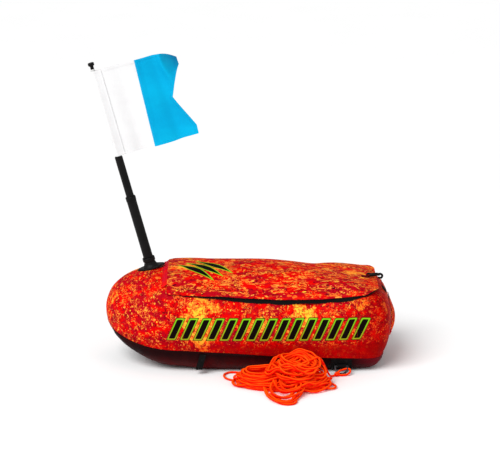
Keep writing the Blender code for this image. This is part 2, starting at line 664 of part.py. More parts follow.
lower_tube = turned("mast_lower_tube",
                    [(LOWER_BORE, LOWER_TOP), (LOWER_BORE, .0300), (.0075, .0265), (.0075, .0066), (.0100, .0066), (.0100, SOCKET_TOP + .0004),
                     (LOWER_R, SOCKET_TOP + .0014), (LOWER_R, LOWER_TOP - .0115), (LOWER_R + .0007, LOWER_TOP - .0110),
                     (LOWER_R + .0007, LOWER_TOP - .0010), (LOWER_R - .0001, LOWER_TOP)],
                    MAST_BASE, AXIS, "black")

MID0 = LOWER_TOP - TELESCOPE_SPARE
middle_tube = turned("mast_middle_tube",
                     [(.0078, MIDDLE_TOP - .0005), (.0078, MID0), (LOWER_BORE - .0006, MID0), (LOWER_BORE - .0006, MID0 + .012),
                      (MIDDLE_R, MID0 + .013), (MIDDLE_R, MIDDLE_TOP - .0005)],
                     MAST_BASE, AXIS, "black")

rod_plug = turned("rod_plug",
                  [(ROD_R + .0003, MIDDLE_TOP - .022), (.0075, MIDDLE_TOP - .022), (.0075, MIDDLE_TOP), (.0090, MIDDLE_TOP),
                   (.0086, MIDDLE_TOP + .0018), (ROD_R + .0003, MIDDLE_TOP + .0018)],
                  MAST_BASE, AXIS, "black")

top_rod = turned("mast_top_rod",
                 [(0, MIDDLE_TOP - .024), (ROD_R, MIDDLE_TOP - .024), (ROD_R, ROD_TOP), (0, ROD_TOP)],
                 MAST_BASE, AXIS, "black", steps=16)

tip_cap = turned("mast_tip_cap",
                 [(0, ROD_TOP + .0004), (ROD_R - .0002, ROD_TOP + .0004), (ROD_R - .0002, ROD_TOP + .0070), (CAP_R, ROD_TOP + .0095),
                  (CAP_R, CAP_TOP - .0015), (CAP_R - .0012, CAP_TOP), (0, CAP_TOP)],
                 MAST_BASE, AXIS, "black", steps=20)


def flag():
    """Sleeve round the rod and a swallowtail sheet, square to the mast."""
    r0, r1 = FLAG_BORE, FLAG_BORE + 0.0008
    aft, side = -FORE, Vector((0, 1, 0))
    mid = (FLAG_HOIST0 + FLAG_HOIST1) / 2
    half_t = FLAG_T / 2
    # sleeve
    prof = [(r0, FLAG_HOIST0), (r1, FLAG_HOIST0), (r1, FLAG_HOIST1), (r0, FLAG_HOIST1)]
    sleeve = turned("sleeve", prof, MAST_BASE, AXIS, "flag_white", steps=16)

    def sheet(name, cols, mat):
        verts = []
        for u, lo, m_, hi in cols:
            for h in (lo, m_, hi):
                for s in (-half_t, half_t):
                    verts.append(tuple(BASE + AXIS * h + aft * u + side * s))
        faces = []
        n = len(cols)
        for i in range(n - 1):
            for j in range(2):
                a, b = 6 * i + 2 * j, 6 * (i + 1) + 2 * j
                faces.append((a, b, b + 2, a + 2))
                faces.append((a + 1, a + 3, b + 3, b + 1))
            a, b = 6 * i, 6 * (i + 1)
            faces.append((a, a + 1, b + 1, b))
            faces.append((a + 4, b + 4, b + 5, a + 5))
        for i, flip in ((0, False), (n - 1, True)):
            a = 6 * i
            for j in range(2):
                faces.append((a + 2 * j, a + 2 * j + 2, a + 2 * j + 3, a + 2 * j + 1))
        return make(name, verts, faces, mat, smooth=0)

    split = 0.107
    hoist = sheet("flag_hoist_half", [(r0 + .0004, FLAG_HOIST0, mid, FLAG_HOIST1), (split - .0002, FLAG_HOIST0, mid, FLAG_HOIST1)], "flag_white")
    boolean(hoist, sleeve, "UNION")
    end = FLAG_FLY
    fly = sheet("flag_fly_half", [(split + .0002, FLAG_HOIST0, mid, FLAG_HOIST1), (end - FLAG_NOTCH, FLAG_HOIST0, mid, FLAG_HOIST1)], "flag_blue")
    # the two tails run on past the notch
    def tail(name, h0, h1, hm):
        verts = []
        for u, a, b in ((end - FLAG_NOTCH - .0005, h0, h1), (end, h0, hm)):
            for h in (a, b):
                for s in (-half_t, half_t):
                    verts.append(tuple(BASE + AXIS * h + aft * u + side * s))
        faces = [(0, 2, 3, 1), (4, 5, 7, 6), (0, 4, 6, 2), (1, 3, 7, 5), (0, 1, 5, 4), (2, 6, 7, 3)]
        return make(name, verts, faces, "flag_blue", smooth=0)
    boolean(fly, tail("tail_low", FLAG_HOIST0, mid, FLAG_HOIST0 + .022), "UNION")
    boolean(fly, tail("tail_high", FLAG_HOIST1, mid, FLAG_HOIST1 - .022), "UNION")
    for ob in (hoist, fly):
        # origin on the mast's axis, where the flag swings
        o = BASE + AXIS * FLAG_HOIST0
        ob.data.transform(Matrix.Translation(ob.location - o))
        ob.location = o
    return hoist, fly


flag_hoist_half, flag_fly_half = flag()

# ----------------------------------------------------- lid closure at the stern


def tube(name, points, r, mat, res=2, origin=(0, 0, 0)):
    """Round bar along smooth points, as a curve with a bevel and filled caps."""
    cu = bpy.data.curves.new(name, "CURVE")
    cu.dimensions = "3D"
    cu.bevel_depth = r
    cu.bevel_resolution = res
    cu.use_fill_caps = True
    cu.render_resolution_u = 0
    sp = cu.splines.new("POLY")
    sp.points.add(len(points) - 1)
    for i, p in enumerate(points):
        sp.points[i].co = (*(Vector(p) - Vector(origin)), 1.0)
    ob = bpy.data.objects.new(name, cu)
    ob.location = origin
    cu.materials.append(material(mat))
    SCENE.objects.link(ob)
    return ob


def ring_mesh(name, path, r, mat, sides=8, origin=(0, 0, 0)):
    """Closed round bar along a closed path."""
    p = np.array(path, float)
    n = len(p)
    verts, faces = [], []
    tan = np.roll(p, -1, 0) - np.roll(p, 1, 0)
    tan /= np.linalg.norm(tan, axis=1, keepdims=True)
    c = p.mean(0)
    nrm = np.cross(p - c, tan).sum(0)
    nrm /= np.linalg.norm(nrm)
    for i in range(n):
        s = np.cross(tan[i], nrm)
        s /= np.linalg.norm(s)
        for k in range(sides):
            a = 2 * math.pi * k / sides
            verts.append(tuple(p[i] + r * (math.cos(a) * s + math.sin(a) * nrm)))
    for i in range(n):
        for k in range(sides):
            j, l = (i + 1) % n, (k + 1) % sides
            faces.append((i * sides + k, i * sides + l, j * sides + l, j * sides + k))
    return make(name, verts, faces, mat, origin=origin)


# webbing tab sewn on the lid's rear end, the pivoting hook it carries, and the
# elastic loop on the stern that the hook takes
HOOK_Y = -0.0120
HOOK_PIVOT = (0.2880, HOOK_Y, lid_z(0.2880, HOOK_Y) + 0.0068)


def hook():
    """Plastic hook: a pivot barrel, a flat shank and an eye-shaped beak that
    reaches past the lid's edge with its mouth on the underside."""
    slope = -math.radians(7)
    d = Vector((math.cos(slope), 0, math.sin(slope)))
    n = Vector((-math.sin(slope), 0, math.cos(slope)))
    o = Vector(HOOK_PIVOT)
    y = Vector((0, 1, 0))

    def box(name, u0, u1, w, h0, h1, k=1.0):
        verts = []
        for u, ww in ((u0, w), (u1, w * k)):
            for s in (-ww, ww):
                for h in (h0, h1):
                    verts.append(tuple(o + d * u + y * s + n * h))
        faces = [(0, 1, 3, 2), (4, 6, 7, 5), (0, 4, 5, 1), (2, 3, 7, 6), (0, 2, 6, 4), (1, 5, 7, 3)]
        return make(name, verts, faces, "black", smooth=0)

    body = box("closure_hook", 0.0045, 0.0255, 0.0042, -0.0022, 0.0030, 0.85)
    barrel = turned("barrel", [(0.0022, -.0042), (0.0052, -.0042), (0.0056, -.0036), (0.0056, .0036), (0.0052, .0042), (0.0022, .0042)],
                    HOOK_PIVOT, (0, 1, 0), "black", steps=16)
    boolean(body, barrel, "UNION")
    cutter = turned("pin_space", [(0, -.006), (0.0022, -.006), (0.0022, .006), (0, .006)], HOOK_PIVOT, (0, 1, 0), "black", steps=16)
    boolean(body, cutter)
    c = o + d * 0.0305 + n * 0.0008
    eye = turned("eye", [(0.0032, -.0032), (0.0062, -.0032), (0.0067, -.0024), (0.0067, .0024), (0.0062, .0032), (0.0032, .0032)],
                 tuple(c), (0, 1, 0), "black", steps=20)
    boolean(body, eye, "UNION")
    mouth = []
    for u, h in ((-.0016, 0), (.0026, 0), (.0034, -.012), (-.0024, -.012)):
        mouth.append((u, h))
    verts = [tuple(c + d * u + n * h + y * s) for s in (-.006, .006) for u, h in mouth]
    faces = [(0, 1, 2, 3), (7, 6, 5, 4)] + [(i, (i + 1) % 4 + 0, (i + 1) % 4 + 4, i + 4) for i in range(4)]
    boolean(body, make("mouth", verts, faces, "black", smooth=0))
    body.data.transform(Matrix.Translation(body.location - Vector(HOOK_PIVOT)))
    body.location = HOOK_PIVOT
    body.data.materials.clear()
    body.data.materials.append(material("black"))
    body.data.shade_smooth()
    body.data.set_sharp_from_angle(angle=math.radians(35))
    return body


closure_hook = hook()


def hook_tab():
    """Webbing sewn flat on the lid, with a pin bar through the hook's barrel."""
    parts = []
    w = 0.0062
    xs = [0.262 + 0.0165 * i / 3 for i in range(4)]
    verts = []
    for x in xs:
        z = min(lid_z(x, HOOK_Y - w), lid_z(x, HOOK_Y + w))
        zt = max(lid_z(x, HOOK_Y - w), lid_z(x, HOOK_Y + w))
        for s in (-w, w):
            verts.append((x, HOOK_Y + s, lid_z(x, HOOK_Y + s) + .0012))
            verts.append((x, HOOK_Y + s, lid_z(x, HOOK_Y + s) + .0030))
    faces = []
    for i in range(3):
        u, v = 4 * i, 4 * (i + 1)
        faces += [(u, v, v + 2, u + 2), (u + 1, u + 3, v + 3, v + 1), (u, u + 1, v + 1, v), (u + 2, v + 2, v + 3, u + 3)]
    faces += [(0, 2, 3, 1), (12, 13, 15, 14)]
    tab = make("hook_tab", verts, faces, "webbing", smooth=0)
    # two cheeks that carry the pin on both sides of the barrel
    for s in (-1, 1):
        y0, y1 = sorted((HOOK_Y + s * .0046, HOOK_Y + s * .0062))
        px, pz = HOOK_PIVOT[0], HOOK_PIVOT[2]
        prof = [(px - .0100, lid_z(px - .0100, y0) + .0010), (px + .0035, lid_z(px + .0035, y0) + .0012), (px + .0040, pz + .0010),
                (px + .0015, pz + .0036), (px - .0020, pz + .0034), (px - .0095, lid_z(px - .0100, y0) + .0030)]
        n = len(prof)
        verts = [(x, y, z) for y in (y0, y1) for x, z in prof]
        faces = [tuple(range(n)), tuple(range(n, 2 * n))[::-1]] + [(i, (i + 1) % n, n + (i + 1) % n, n + i) for i in range(n)]
        boolean(tab, make("cheek", verts, faces, "webbing", smooth=0), "UNION")
    pin = turned("pin", [(0, -.0052), (0.0018, -.0052), (0.0018, .0052), (0, .0052)], HOOK_PIVOT, (0, 1, 0), "webbing", steps=16)
    boolean(tab, pin, "UNION")
    tab.data.materials.clear()
    tab.data.materials.append(material("webbing"))
    tab.data.shade_smooth()
    tab.data.set_sharp_from_angle(angle=math.radians(35))
    tab.data.transform(Matrix.Translation(tab.location - Vector(LID_HINGE)))
    tab.location = LID_HINGE
    return tab


hook_tab_ob = hook_tab()


def stern_loop():
    """Elastic cord standing up from a patch on the stern to just under the
    hook's mouth."""
    def surf(x):
        # stern cover's height on the middle line
        up = stern_column(0.0)[0]
        xs = [p[0] for p in up[:3:-1]]
        zs = [p[2] for p in up[:3:-1]]
        return float(np.interp(x, xs, zs))
    foot_x = 0.3245
    fz = surf(foot_x)
    r = 0.0020
    pts = []
    top_z = HOOK_PIVOT[2] - 0.0136
    for i in range(15):
        a = math.pi * i / 14
        # a narrow hoop across the hull, leaning on the stern
        yy = HOOK_Y - 0.009 * math.cos(a)
        k = math.sin(a) ** 0.7
        pts.append((foot_x + 0.0010 * (1 - k) - 0.0050 * k, yy, fz + 0.0078 + (top_z - fz - 0.0078) * k))
    loop = tube("elastic_loop", pts, r, "elastic", res=2)
    # patch: a small moulded plate below the loop's two ends
    verts = []
    n = (Vector((surf(foot_x - .006) - surf(foot_x + .006), 0, .012))).normalized()
    t = Vector((n.z, 0, -n.x))
    o = Vector((foot_x, HOOK_Y, fz)) + n * 0.0016
    for s, k in ((0.0, 1.0), (0.0018, .86)):
        for u, v in ((-.008, -.015), (.008, -.015), (.008, .015), (-.008, .015)):
            verts.append(tuple(o + t * (u * k) + Vector((0, v * k, 0)) + n * s))
    faces = [(0, 1, 2, 3), (7, 6, 5, 4)] + [(i, (i + 1) % 4, (i + 1) % 4 + 4, i + 4) for i in range(4)]
    plate = make("loop_anchor", verts, faces, "black", smooth=0)
    return loop, plate


elastic_loop, loop_anchor = stern_loop()

# ---------------------------------------------------- belly rings, tabs, loops


def under(x, r, off=0.0):
    """Point (y, z) on the port underside's facets at x, at share r of the half
    width, stood off outwards by off."""
    i = min(max(int((x - NOSE_POLE) / (mid_x[1] - mid_x[0])), 0), N_MID - 1)
    f = (x - mid_x[i]) / (mid_x[i + 1] - mid_x[i])
    c = [(1 - f) * np.array(p[1:]) + f * np.array(q[1:]) for p, q in zip(mid_column(mid_x[i], -1)[1], mid_column(mid_x[i + 1], -1)[1])]
    rr = [p[0] for p in BELLY[::-1]]

    def at(v):
        return np.array([np.interp(v, rr, [k[0] for k in c[::-1]]), np.interp(v, rr, [k[1] for k in c[::-1]])])

    t = at(r - 0.012) - at(r + 0.012 if r + 0.012 <= 1 else r)
    t /= np.linalg.norm(t)
    return at(r) + off * np.array([t[1], -t[0]])


def belly_path(x, r0, r1, off, n=7):
    """Points on the hull's underside at x, port side, between two shares of the
    half width, stood off by off."""
    return [under(x, r0 + (r1 - r0) * i / (n - 1), off) for i in range(n)]


def tab(name, x, half, r0, r1, side, off=0.0011, t=0.0016, mat="webbing", n=8):
    xs = sorted({x - half, x + half} | {v for v in mid_x if x - half + .001 < v < x + half - .001})
    a = [belly_path(v, r0, r1, off, n) for v in xs]
    b = [belly_path(v, r0, r1, off + t, n) for v in xs]
    o = np.array([[(v, -side * p[0], p[1]) for p in row] for v, row in zip(xs, b)])
    k = np.array([[(v, -side * p[0], p[1]) for p in row] for v, row in zip(xs, a)])
    return shell(name, o, k, mat)


# rear tabs with D rings, port and starboard
def rear_rigging(side):
    tag = "port" if side < 0 else "starboard"
    t = tab("ring_tab_" + tag, RING_TAB_X, 0.0250, 0.995, 0.80, side)
    # keeper: a short second layer that holds the ring's bar off the tab
    sgn = -1 if side < 0 else 1
    bar = np.array(belly_path(RING_TAB_X, .955, .955, 0.0080, 2)[0])
    y0, z0 = abs(bar[0]), bar[1]
    hw, drop = 0.0150, 0.0200
    # the ring hangs from its bar with its far end just clear of the floor
    fall = (z0 - RING_WIRE - 0.0006) / drop
    out = np.array([math.sqrt(1 - fall * fall), -fall])
    path = []
    for i in range(5):
        path.append((RING_TAB_X - hw + 2 * hw * i / 4, 0.0))
    for i in range(1, 10):
        a = math.pi * i / 10
        path.append((RING_TAB_X + hw * math.cos(a), drop * math.sin(a) ** 0.8))
    pts = [(x, sgn * (y0 + out[0] * d), z0 + out[1] * d) for x, d in path]
    lowest = min(p[2] for p in pts) - RING_WIRE
    ring = ring_mesh("d_ring_" + tag, pts, RING_WIRE, "steel", origin=(RING_TAB_X, sgn * y0, z0))
    return t, ring, (RING_TAB_X, sgn * y0, z0), lowest


rear = {}
for sd in (-1, 1):
    rear[sd] = rear_rigging(sd)


def keeper(side):
    """Webbing loop round the ring's bar, sewn to the tab above and below."""
    sgn = side
    tag = "port" if side < 0 else "starboard"
    (x, y, z) = rear[side][2]
    hw = 0.0105
    r0, r1 = RING_WIRE + 0.0005, RING_WIRE + 0.0019
    verts, faces = [], []
    n = 12
    for s in (-hw, hw):
        for r in (r0, r1):
            for i in range(n):
                a = 2 * math.pi * i / n
                verts.append((x + s, y + r * math.cos(a), z + r * math.sin(a)))
    for i in range(n):
        k = (i + 1) % n
        faces += [(i, k, n + k, n + i), (2 * n + i, 3 * n + i, 3 * n + k, 2 * n + k),
                  (n + i, n + k, 3 * n + k, 3 * n + i), (i, 2 * n + i, 2 * n + k, k)]
    return make("ring_keeper_" + tag, verts, faces, "webbing")


keepers = {sd: keeper(sd) for sd in (-1, 1)}


def front_loop(side):
    """Narrow webbing loop that hangs from the seam beside the belly."""
    tag = "port" if side < 0 else "starboard"
    sgn = side
    x0 = LOOP_X
    zs = seam_z(x0)
    w = half_width(x0)
    t, hw = 0.0016, 0.0075
    # side view in the Y-Z plane: down from the seam, round the bottom and back up
    path = []
    top, low = zs - 0.006, 0.0125
    ya, yb = w - 0.0035 + 0.0045, w - 0.0035 + 0.0115
    for i in range(4):
        path.append((ya - 0.006 * (i / 3), top + (low + .006 - top) * i / 3))
    cy = (ya - 0.006 + yb) / 2
    rr = (yb - ya + 0.006) / 2
    for i in range(1, 6):
        a = math.pi + math.pi * i / 6
        path.append((cy + rr * math.cos(a), low + .006 + rr * math.sin(a)))
    for i in range(4):
        path.append((yb - 0.0035 * (i / 3), low + .006 + (top - low - .006) * i / 3))
    p = np.array(path)
    tan = np.gradient(p, axis=0)
    tan /= np.linalg.norm(tan, axis=1, keepdims=True)
    nrm = np.stack([-tan[:, 1], tan[:, 0]], 1)
    verts = []
    slant = -0.010
    for q, m in zip(p, nrm):
        sh = slant * (top - q[1]) / (top - low)
        for s in (-hw, hw):
            for d in (-t / 2, t / 2):
                verts.append((x0 + s + sh, sgn * (q[0] + m[0] * d), q[1] + m[1] * d))
    n = len(p)
    faces = []
    for i in range(n - 1):
        u, v = 4 * i, 4 * (i + 1)
        faces += [(u, v, v + 2, u + 2), (u + 1, u + 3, v + 3, v + 1), (u, u + 1, v + 1, v), (u + 2, v + 2, v + 3, u + 3)]
    e = 4 * (n - 1)
    faces += [(0, 2, 3, 1), (e, e + 1, e + 3, e + 2)]
    return make("webbing_loop_" + tag, verts, faces, "webbing", origin=(x0, sgn * (w + .004), top), smooth=30)


front_loops = {sd: front_loop(sd) for sd in (-1, 1)}

# ------------------------------------------------------------------ float line
def smooth_path(points, step):
    """Points every step along a smooth curve through the given ones."""
    p = np.array(points, float)
    dense = []
    q = np.vstack([2 * p[0] - p[1], p, 2 * p[-1] - p[-2]])
    for i in range(1, len(q) - 2):
        for t in np.linspace(0, 1, 24, endpoint=False):
            a, b, c, d = q[i - 1], q[i], q[i + 1], q[i + 2]
            dense.append(0.5 * ((2 * b) + (-a + c) * t + (2 * a - 5 * b + 4 * c - d) * t**2 + (-a + 3 * b - 3 * c + d) * t**3))
    dense.append(p[-1])
    dense = np.array(dense)
    s = np.concatenate([[0], np.cumsum(np.linalg.norm(np.diff(dense, axis=0), axis=1))])
    n = max(int(round(s[-1] / step)), 2)
    u = np.linspace(0, s[-1], n + 1)
    return [tuple(np.interp(v, s, dense[:, k]) for k in range(3)) for v in u]


def heap():
    """Outer shape of the loose heap: a low dome with a flat underside."""
    rings = [(1.0, 0.0), (1.0, 0.10), (.965, .27), (.90, .45), (.79, .64), (.62, .81), (.40, .94), (.18, .99)]
    seg = 28
    verts, faces = [], []
    for r, h in rings:
        for i in range(seg):
            a = 2 * math.pi * i / seg
            k = 1 + 0.035 * math.sin(3 * a + 0.6) + 0.025 * math.sin(5 * a + 2.0)
            verts.append((HEAP_C[0] + r * k * HEAP_RX * math.cos(a), HEAP_C[1] + r * k * HEAP_RY * math.sin(a), 0.0003 + h * HEAP_H))
    verts.append((HEAP_C[0], HEAP_C[1], 0.0003 + HEAP_H))
    tip = len(verts) - 1
    m = len(rings)
    faces.append(tuple(range(seg))[::-1])
    for j in range(m - 1):
        faces += [(j * seg + i, j * seg + (i + 1) % seg, (j + 1) * seg + (i + 1) % seg, (j + 1) * seg + i) for i in range(seg)]
    faces += [((m - 1) * seg + i, (m - 1) * seg + (i + 1) % seg, tip) for i in range(seg)]
    return make("line_heap", verts, faces, "line")


line_heap = heap()

# the lead of line from the port ring to the heap, along the ground
LEAD = [(0.2100, -0.1530, 0.0032), (0.2040, -0.1526, 0.0030), (0.1984, -0.1545, 0.0029), (0.1952, -0.1577, 0.0029), (0.1931, -0.1606, 0.0030)]
line_lead = tube("line_lead", smooth_path(LEAD, 0.010), LINE_D / 2, "line", res=2)
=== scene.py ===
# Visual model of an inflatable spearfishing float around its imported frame.
# Metres, +Z up.  The nose points to -X, the stern to +X, the port side to -Y.
import bpy
import bmesh
from mathutils.bvhtree import BVHTree
import json
import math
import numpy as np
from mathutils import Matrix, Vector
from mathutils.kdtree import KDTree

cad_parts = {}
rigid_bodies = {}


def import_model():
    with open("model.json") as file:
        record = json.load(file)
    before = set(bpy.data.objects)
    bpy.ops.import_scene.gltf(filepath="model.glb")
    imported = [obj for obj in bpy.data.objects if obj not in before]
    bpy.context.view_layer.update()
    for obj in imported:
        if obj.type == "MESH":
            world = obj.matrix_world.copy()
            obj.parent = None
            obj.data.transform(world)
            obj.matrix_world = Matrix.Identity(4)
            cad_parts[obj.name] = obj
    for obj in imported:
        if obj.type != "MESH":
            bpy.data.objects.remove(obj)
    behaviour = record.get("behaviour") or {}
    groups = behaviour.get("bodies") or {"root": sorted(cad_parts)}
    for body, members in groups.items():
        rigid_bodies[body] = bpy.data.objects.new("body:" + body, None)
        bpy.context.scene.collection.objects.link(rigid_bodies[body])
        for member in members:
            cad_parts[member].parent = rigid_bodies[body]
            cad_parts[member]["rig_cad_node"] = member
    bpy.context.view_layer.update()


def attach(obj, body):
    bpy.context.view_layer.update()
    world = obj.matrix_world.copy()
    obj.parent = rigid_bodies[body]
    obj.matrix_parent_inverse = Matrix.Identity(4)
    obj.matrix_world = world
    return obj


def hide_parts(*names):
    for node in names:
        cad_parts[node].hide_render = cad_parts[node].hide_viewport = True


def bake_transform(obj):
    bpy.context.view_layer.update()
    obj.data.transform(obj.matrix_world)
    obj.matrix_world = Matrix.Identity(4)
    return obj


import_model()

SCENE = bpy.context.scene.collection

# ------------------------------------------------------------ camera and light
def camera():
    cam = bpy.data.cameras.new("camera")
    cam.sensor_width = 36.0
    cam.lens = 1862.0 * 36.0 / 500.0
    ob = bpy.data.objects.new("camera", cam)
    SCENE.objects.link(ob)
    el, dist, target = math.radians(15.0), 4.5, Vector((0.0, 0.0, 0.333))
    ob.location = target - Vector((0, math.cos(el), -math.sin(el))) * dist
    ob.rotation_euler = (math.pi / 2 - el, 0, 0)
    cam.clip_end = 200
    bpy.context.scene.camera = ob
    return ob


camera()


def area_light(name, place, aim, size, power, colour=(1, 1, 1)):
    li = bpy.data.lights.new(name, "AREA")
    li.shape = "RECTANGLE"
    li.size, li.size_y = size
    li.energy = power
    li.color = colour
    ob = bpy.data.objects.new(name, li)
    SCENE.objects.link(ob)
    ob.location = place
    ob.rotation_euler = (Vector(aim) - Vector(place)).to_track_quat("-Z", "Y").to_euler()
    return ob


def sun(name, direction, strength, angle, colour=(1, 1, 1)):
    li = bpy.data.lights.new(name, "SUN")
    li.energy = strength
    li.angle = math.radians(angle)
    li.color = colour
    ob = bpy.data.objects.new(name, li)
    SCENE.objects.link(ob)
    ob.location = Vector(direction) * -3
    ob.rotation_euler = Vector(direction).to_track_quat("-Z", "Y").to_euler()
    return ob


sun("key", (0.55, 0.75, -1.0), 2.45, 38)
area_light("fill", (2.4, -2.0, 1.2), (0, 0, 0.12), (1.6, 1.6), 12)
area_light("left", (-2.4, -1.4, 1.6), (0, 0, 0.12), (1.6, 1.6), 12)

world = bpy.data.worlds.new("studio")
bpy.context.scene.world = world
world.use_nodes = True
world.node_tree.nodes["Background"].inputs["Color"].default_value = (1, 1, 1, 1)
world.node_tree.nodes["Background"].inputs["Strength"].default_value = 0.48
bpy.context.scene.view_settings.view_transform = "Standard"
bpy.context.scene.view_settings.look = "None"


# ----------------------------------------------------------------- mesh helpers
def new_mesh(name, verts, faces, smooth=True, uvs=None):
    me = bpy.data.meshes.new(name)
    me.from_pydata([tuple(map(float, v)) for v in verts], [], [tuple(f) for f in faces])
    if uvs is not None:
        layer = me.uv_layers.new(name="UVMap")
        flat = np.zeros(2 * len(me.loops), np.float32)
        idx = np.zeros(len(me.loops), np.int32)
        me.loops.foreach_get("vertex_index", idx)
        uv = np.asarray(uvs, np.float32)
        if len(uv) == len(me.loops):
            flat = uv.reshape(-1)
        else:
            flat = uv[idx].reshape(-1)
        layer.data.foreach_set("uv", flat)
    me.update()
    if smooth:
        me.shade_smooth()
    ob = bpy.data.objects.new(name, me)
    SCENE.objects.link(ob)
    return ob


def outward(ob):
    bm = bmesh.new()
    bm.from_mesh(ob.data)
    bmesh.ops.recalc_face_normals(bm, faces=bm.faces)
    bm.to_mesh(ob.data)
    bm.free()
    return ob


def tube_mesh(name, line, r, sides=10, closed=False, caps=True, radii=None):
    """Round tube along points, with lengths along and round it as its UVs."""
    p = np.asarray(line, float)
    n = len(p)
    if closed:
        tan = np.roll(p, -1, 0) - np.roll(p, 1, 0)
    else:
        tan = np.gradient(p, axis=0)
    tan /= np.maximum(np.linalg.norm(tan, axis=1, keepdims=True), 1e-12)
    nrm = np.zeros_like(p)
    a = np.cross(tan[0], [0, 0, 1.0])
    if np.linalg.norm(a) < .1:
        a = np.cross(tan[0], [0, 1.0, 0])
    nrm[0] = a / np.linalg.norm(a)
    for i in range(1, n):
        v = nrm[i - 1] - tan[i] * float(nrm[i - 1] @ tan[i])
        nrm[i] = v / max(np.linalg.norm(v), 1e-12)
    bi = np.cross(tan, nrm)
    if closed:
        # spread the leftover twist over the whole turn
        v = nrm[-1] - tan[0] * float(nrm[-1] @ tan[0])
        v /= np.linalg.norm(v)
        tw = math.atan2(float(v @ bi[0]), float(v @ nrm[0]))
        ang = -tw * np.arange(n) / n
        nrm, bi = nrm * np.cos(ang)[:, None] + bi * np.sin(ang)[:, None], bi * np.cos(ang)[:, None] - nrm * np.sin(ang)[:, None]
    rad = np.full(n, r) if radii is None else np.asarray(radii, float)
    th = np.linspace(0, 2 * np.pi, sides, endpoint=False)
    ring = (np.cos(th)[None, :, None] * nrm[:, None] + np.sin(th)[None, :, None] * bi[:, None]) * rad[:, None, None] + p[:, None]
    verts = ring.reshape(-1, 3)
    seg = np.linalg.norm(np.diff(p, axis=0), axis=1)
    s = np.concatenate([[0], np.cumsum(seg)])
    faces, uv = [], []
    m = n if closed else n - 1
    tot = s[-1] + (np.linalg.norm(p[0] - p[-1]) if closed else 0)
    for i in range(m):
        k = (i + 1) % n
        s0, s1 = s[i], (s[k] if k else tot)
        for j in range(sides):
            l = (j + 1) % sides
            faces.append((i * sides + j, i * sides + l, k * sides + l, k * sides + j))
            uv += [(s0, j / sides), (s0, (j + 1) / sides), (s1, (j + 1) / sides), (s1, j / sides)]
    if caps and not closed:
        faces.append(tuple(range(sides))[::-1])
        uv += [(0, j / sides) for j in range(sides)][::-1]
        faces.append(tuple((n - 1) * sides + j for j in range(sides)))
        uv += [(tot, j / sides) for j in range(sides)]
    ob = new_mesh(name, verts, faces, uvs=uv)
    return outward(ob)


# ----------------------------------------------------------------- node helpers
class Nodes:
    """Small helper to write a material's node tree."""

    def __init__(self, name):
        m = bpy.data.materials.new(name)
        m.use_nodes = True
        self.m, self.t = m, m.node_tree
        self.b = self.t.nodes["Principled BSDF"]

    def __call__(self, kind, ins=None, **props):
        n = self.t.nodes.new(kind)
        for k, v in props.items():
            setattr(n, k, v)
        for k, v in (ins or {}).items():
            self.put(n, k, v)
        return n

    def put(self, n, k, v):
        s = n.inputs[k]
        if isinstance(v, bpy.types.NodeSocket):
            self.t.links.new(v, s)
        elif isinstance(v, bpy.types.Node):
            self.t.links.new(v.outputs[0], s)
        elif isinstance(v, (tuple, list)) and len(v) == 3 and s.type == "RGBA":
            s.default_value = (*v, 1.0)
        else:
            s.default_value = v

    def coords(self):
        return self("ShaderNodeTexCoord").outputs["Object"]

    def uv(self):
        return self("ShaderNodeTexCoord").outputs["UV"]

    def attr(self, name, out="Vector"):
        return self("ShaderNodeAttribute", attribute_name=name).outputs[out]

    def scale(self, vec, s, loc=(0, 0, 0), rot=(0, 0, 0)):
        return self("ShaderNodeMapping", {"Vector": vec, "Scale": s, "Location": loc, "Rotation": rot}).outputs[0]

    def noise(self, vec, scale, detail=2.0, rough=0.5, dist=0.0, out=0):
        return self("ShaderNodeTexNoise", {"Vector": vec, "Scale": scale, "Detail": detail, "Roughness": rough, "Distortion": dist}).outputs[out]

    def voronoi(self, vec, scale, feature="F1", out=0, rand=1.0):
        return self("ShaderNodeTexVoronoi", {"Vector": vec, "Scale": scale, "Randomness": rand}, feature=feature).outputs[out]

    def math(self, op, a, b=None, c=None, clamp=False):
        n = self("ShaderNodeMath", operation=op, use_clamp=clamp)
        self.put(n, 0, a)
        if b is not None:
            self.put(n, 1, b)
        if c is not None:
            self.put(n, 2, c)
        return n.outputs[0]

    def ramp(self, f, lo, hi, a=0.0, b=1.0, smooth=True):
        return self("ShaderNodeMapRange", {"Value": f, "From Min": lo, "From Max": hi, "To Min": a, "To Max": b},
                    interpolation_type="SMOOTHSTEP" if smooth else "LINEAR").outputs[0]

    def mix(self, f, a, b, mode="MIX"):
        n = self("ShaderNodeMix", data_type="RGBA", blend_type=mode)
        for k, v in ((0, f), (6, a), (7, b)):
            self.put(n, k, v)
        return n.outputs[2]

    def xyz(self, vec):
        return self("ShaderNodeSeparateXYZ", {0: vec}).outputs

    def vec(self, x, y, z):
        return self("ShaderNodeCombineXYZ", {0: x, 1: y, 2: z}).outputs[0]

    def vmath(self, op, a, b=None):
        n = self("ShaderNodeVectorMath", operation=op)
        self.put(n, 0, a)
        if b is not None:
            self.put(n, 1, b)
        return n.outputs[0]

    def bump(self, h, strength, dist, normal=None):
        n = self("ShaderNodeBump", {"Height": h, "Strength": strength, "Distance": dist})
        if normal is not None:
            self.put(n, "Normal", normal)
        return n.outputs[0]

    def out(self, **ins):
        for k, v in ins.items():
            self.put(self.b, k.replace("_", " "), v)
        return self.m


def give(ob, *mats):
    ob.data.materials.clear()
    for m in mats:
        ob.data.materials.append(m)
    return ob


def node_object(node):
    """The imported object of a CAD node."""
    return next(o for o in bpy.data.objects if o.get("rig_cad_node") == node or o.name == node)


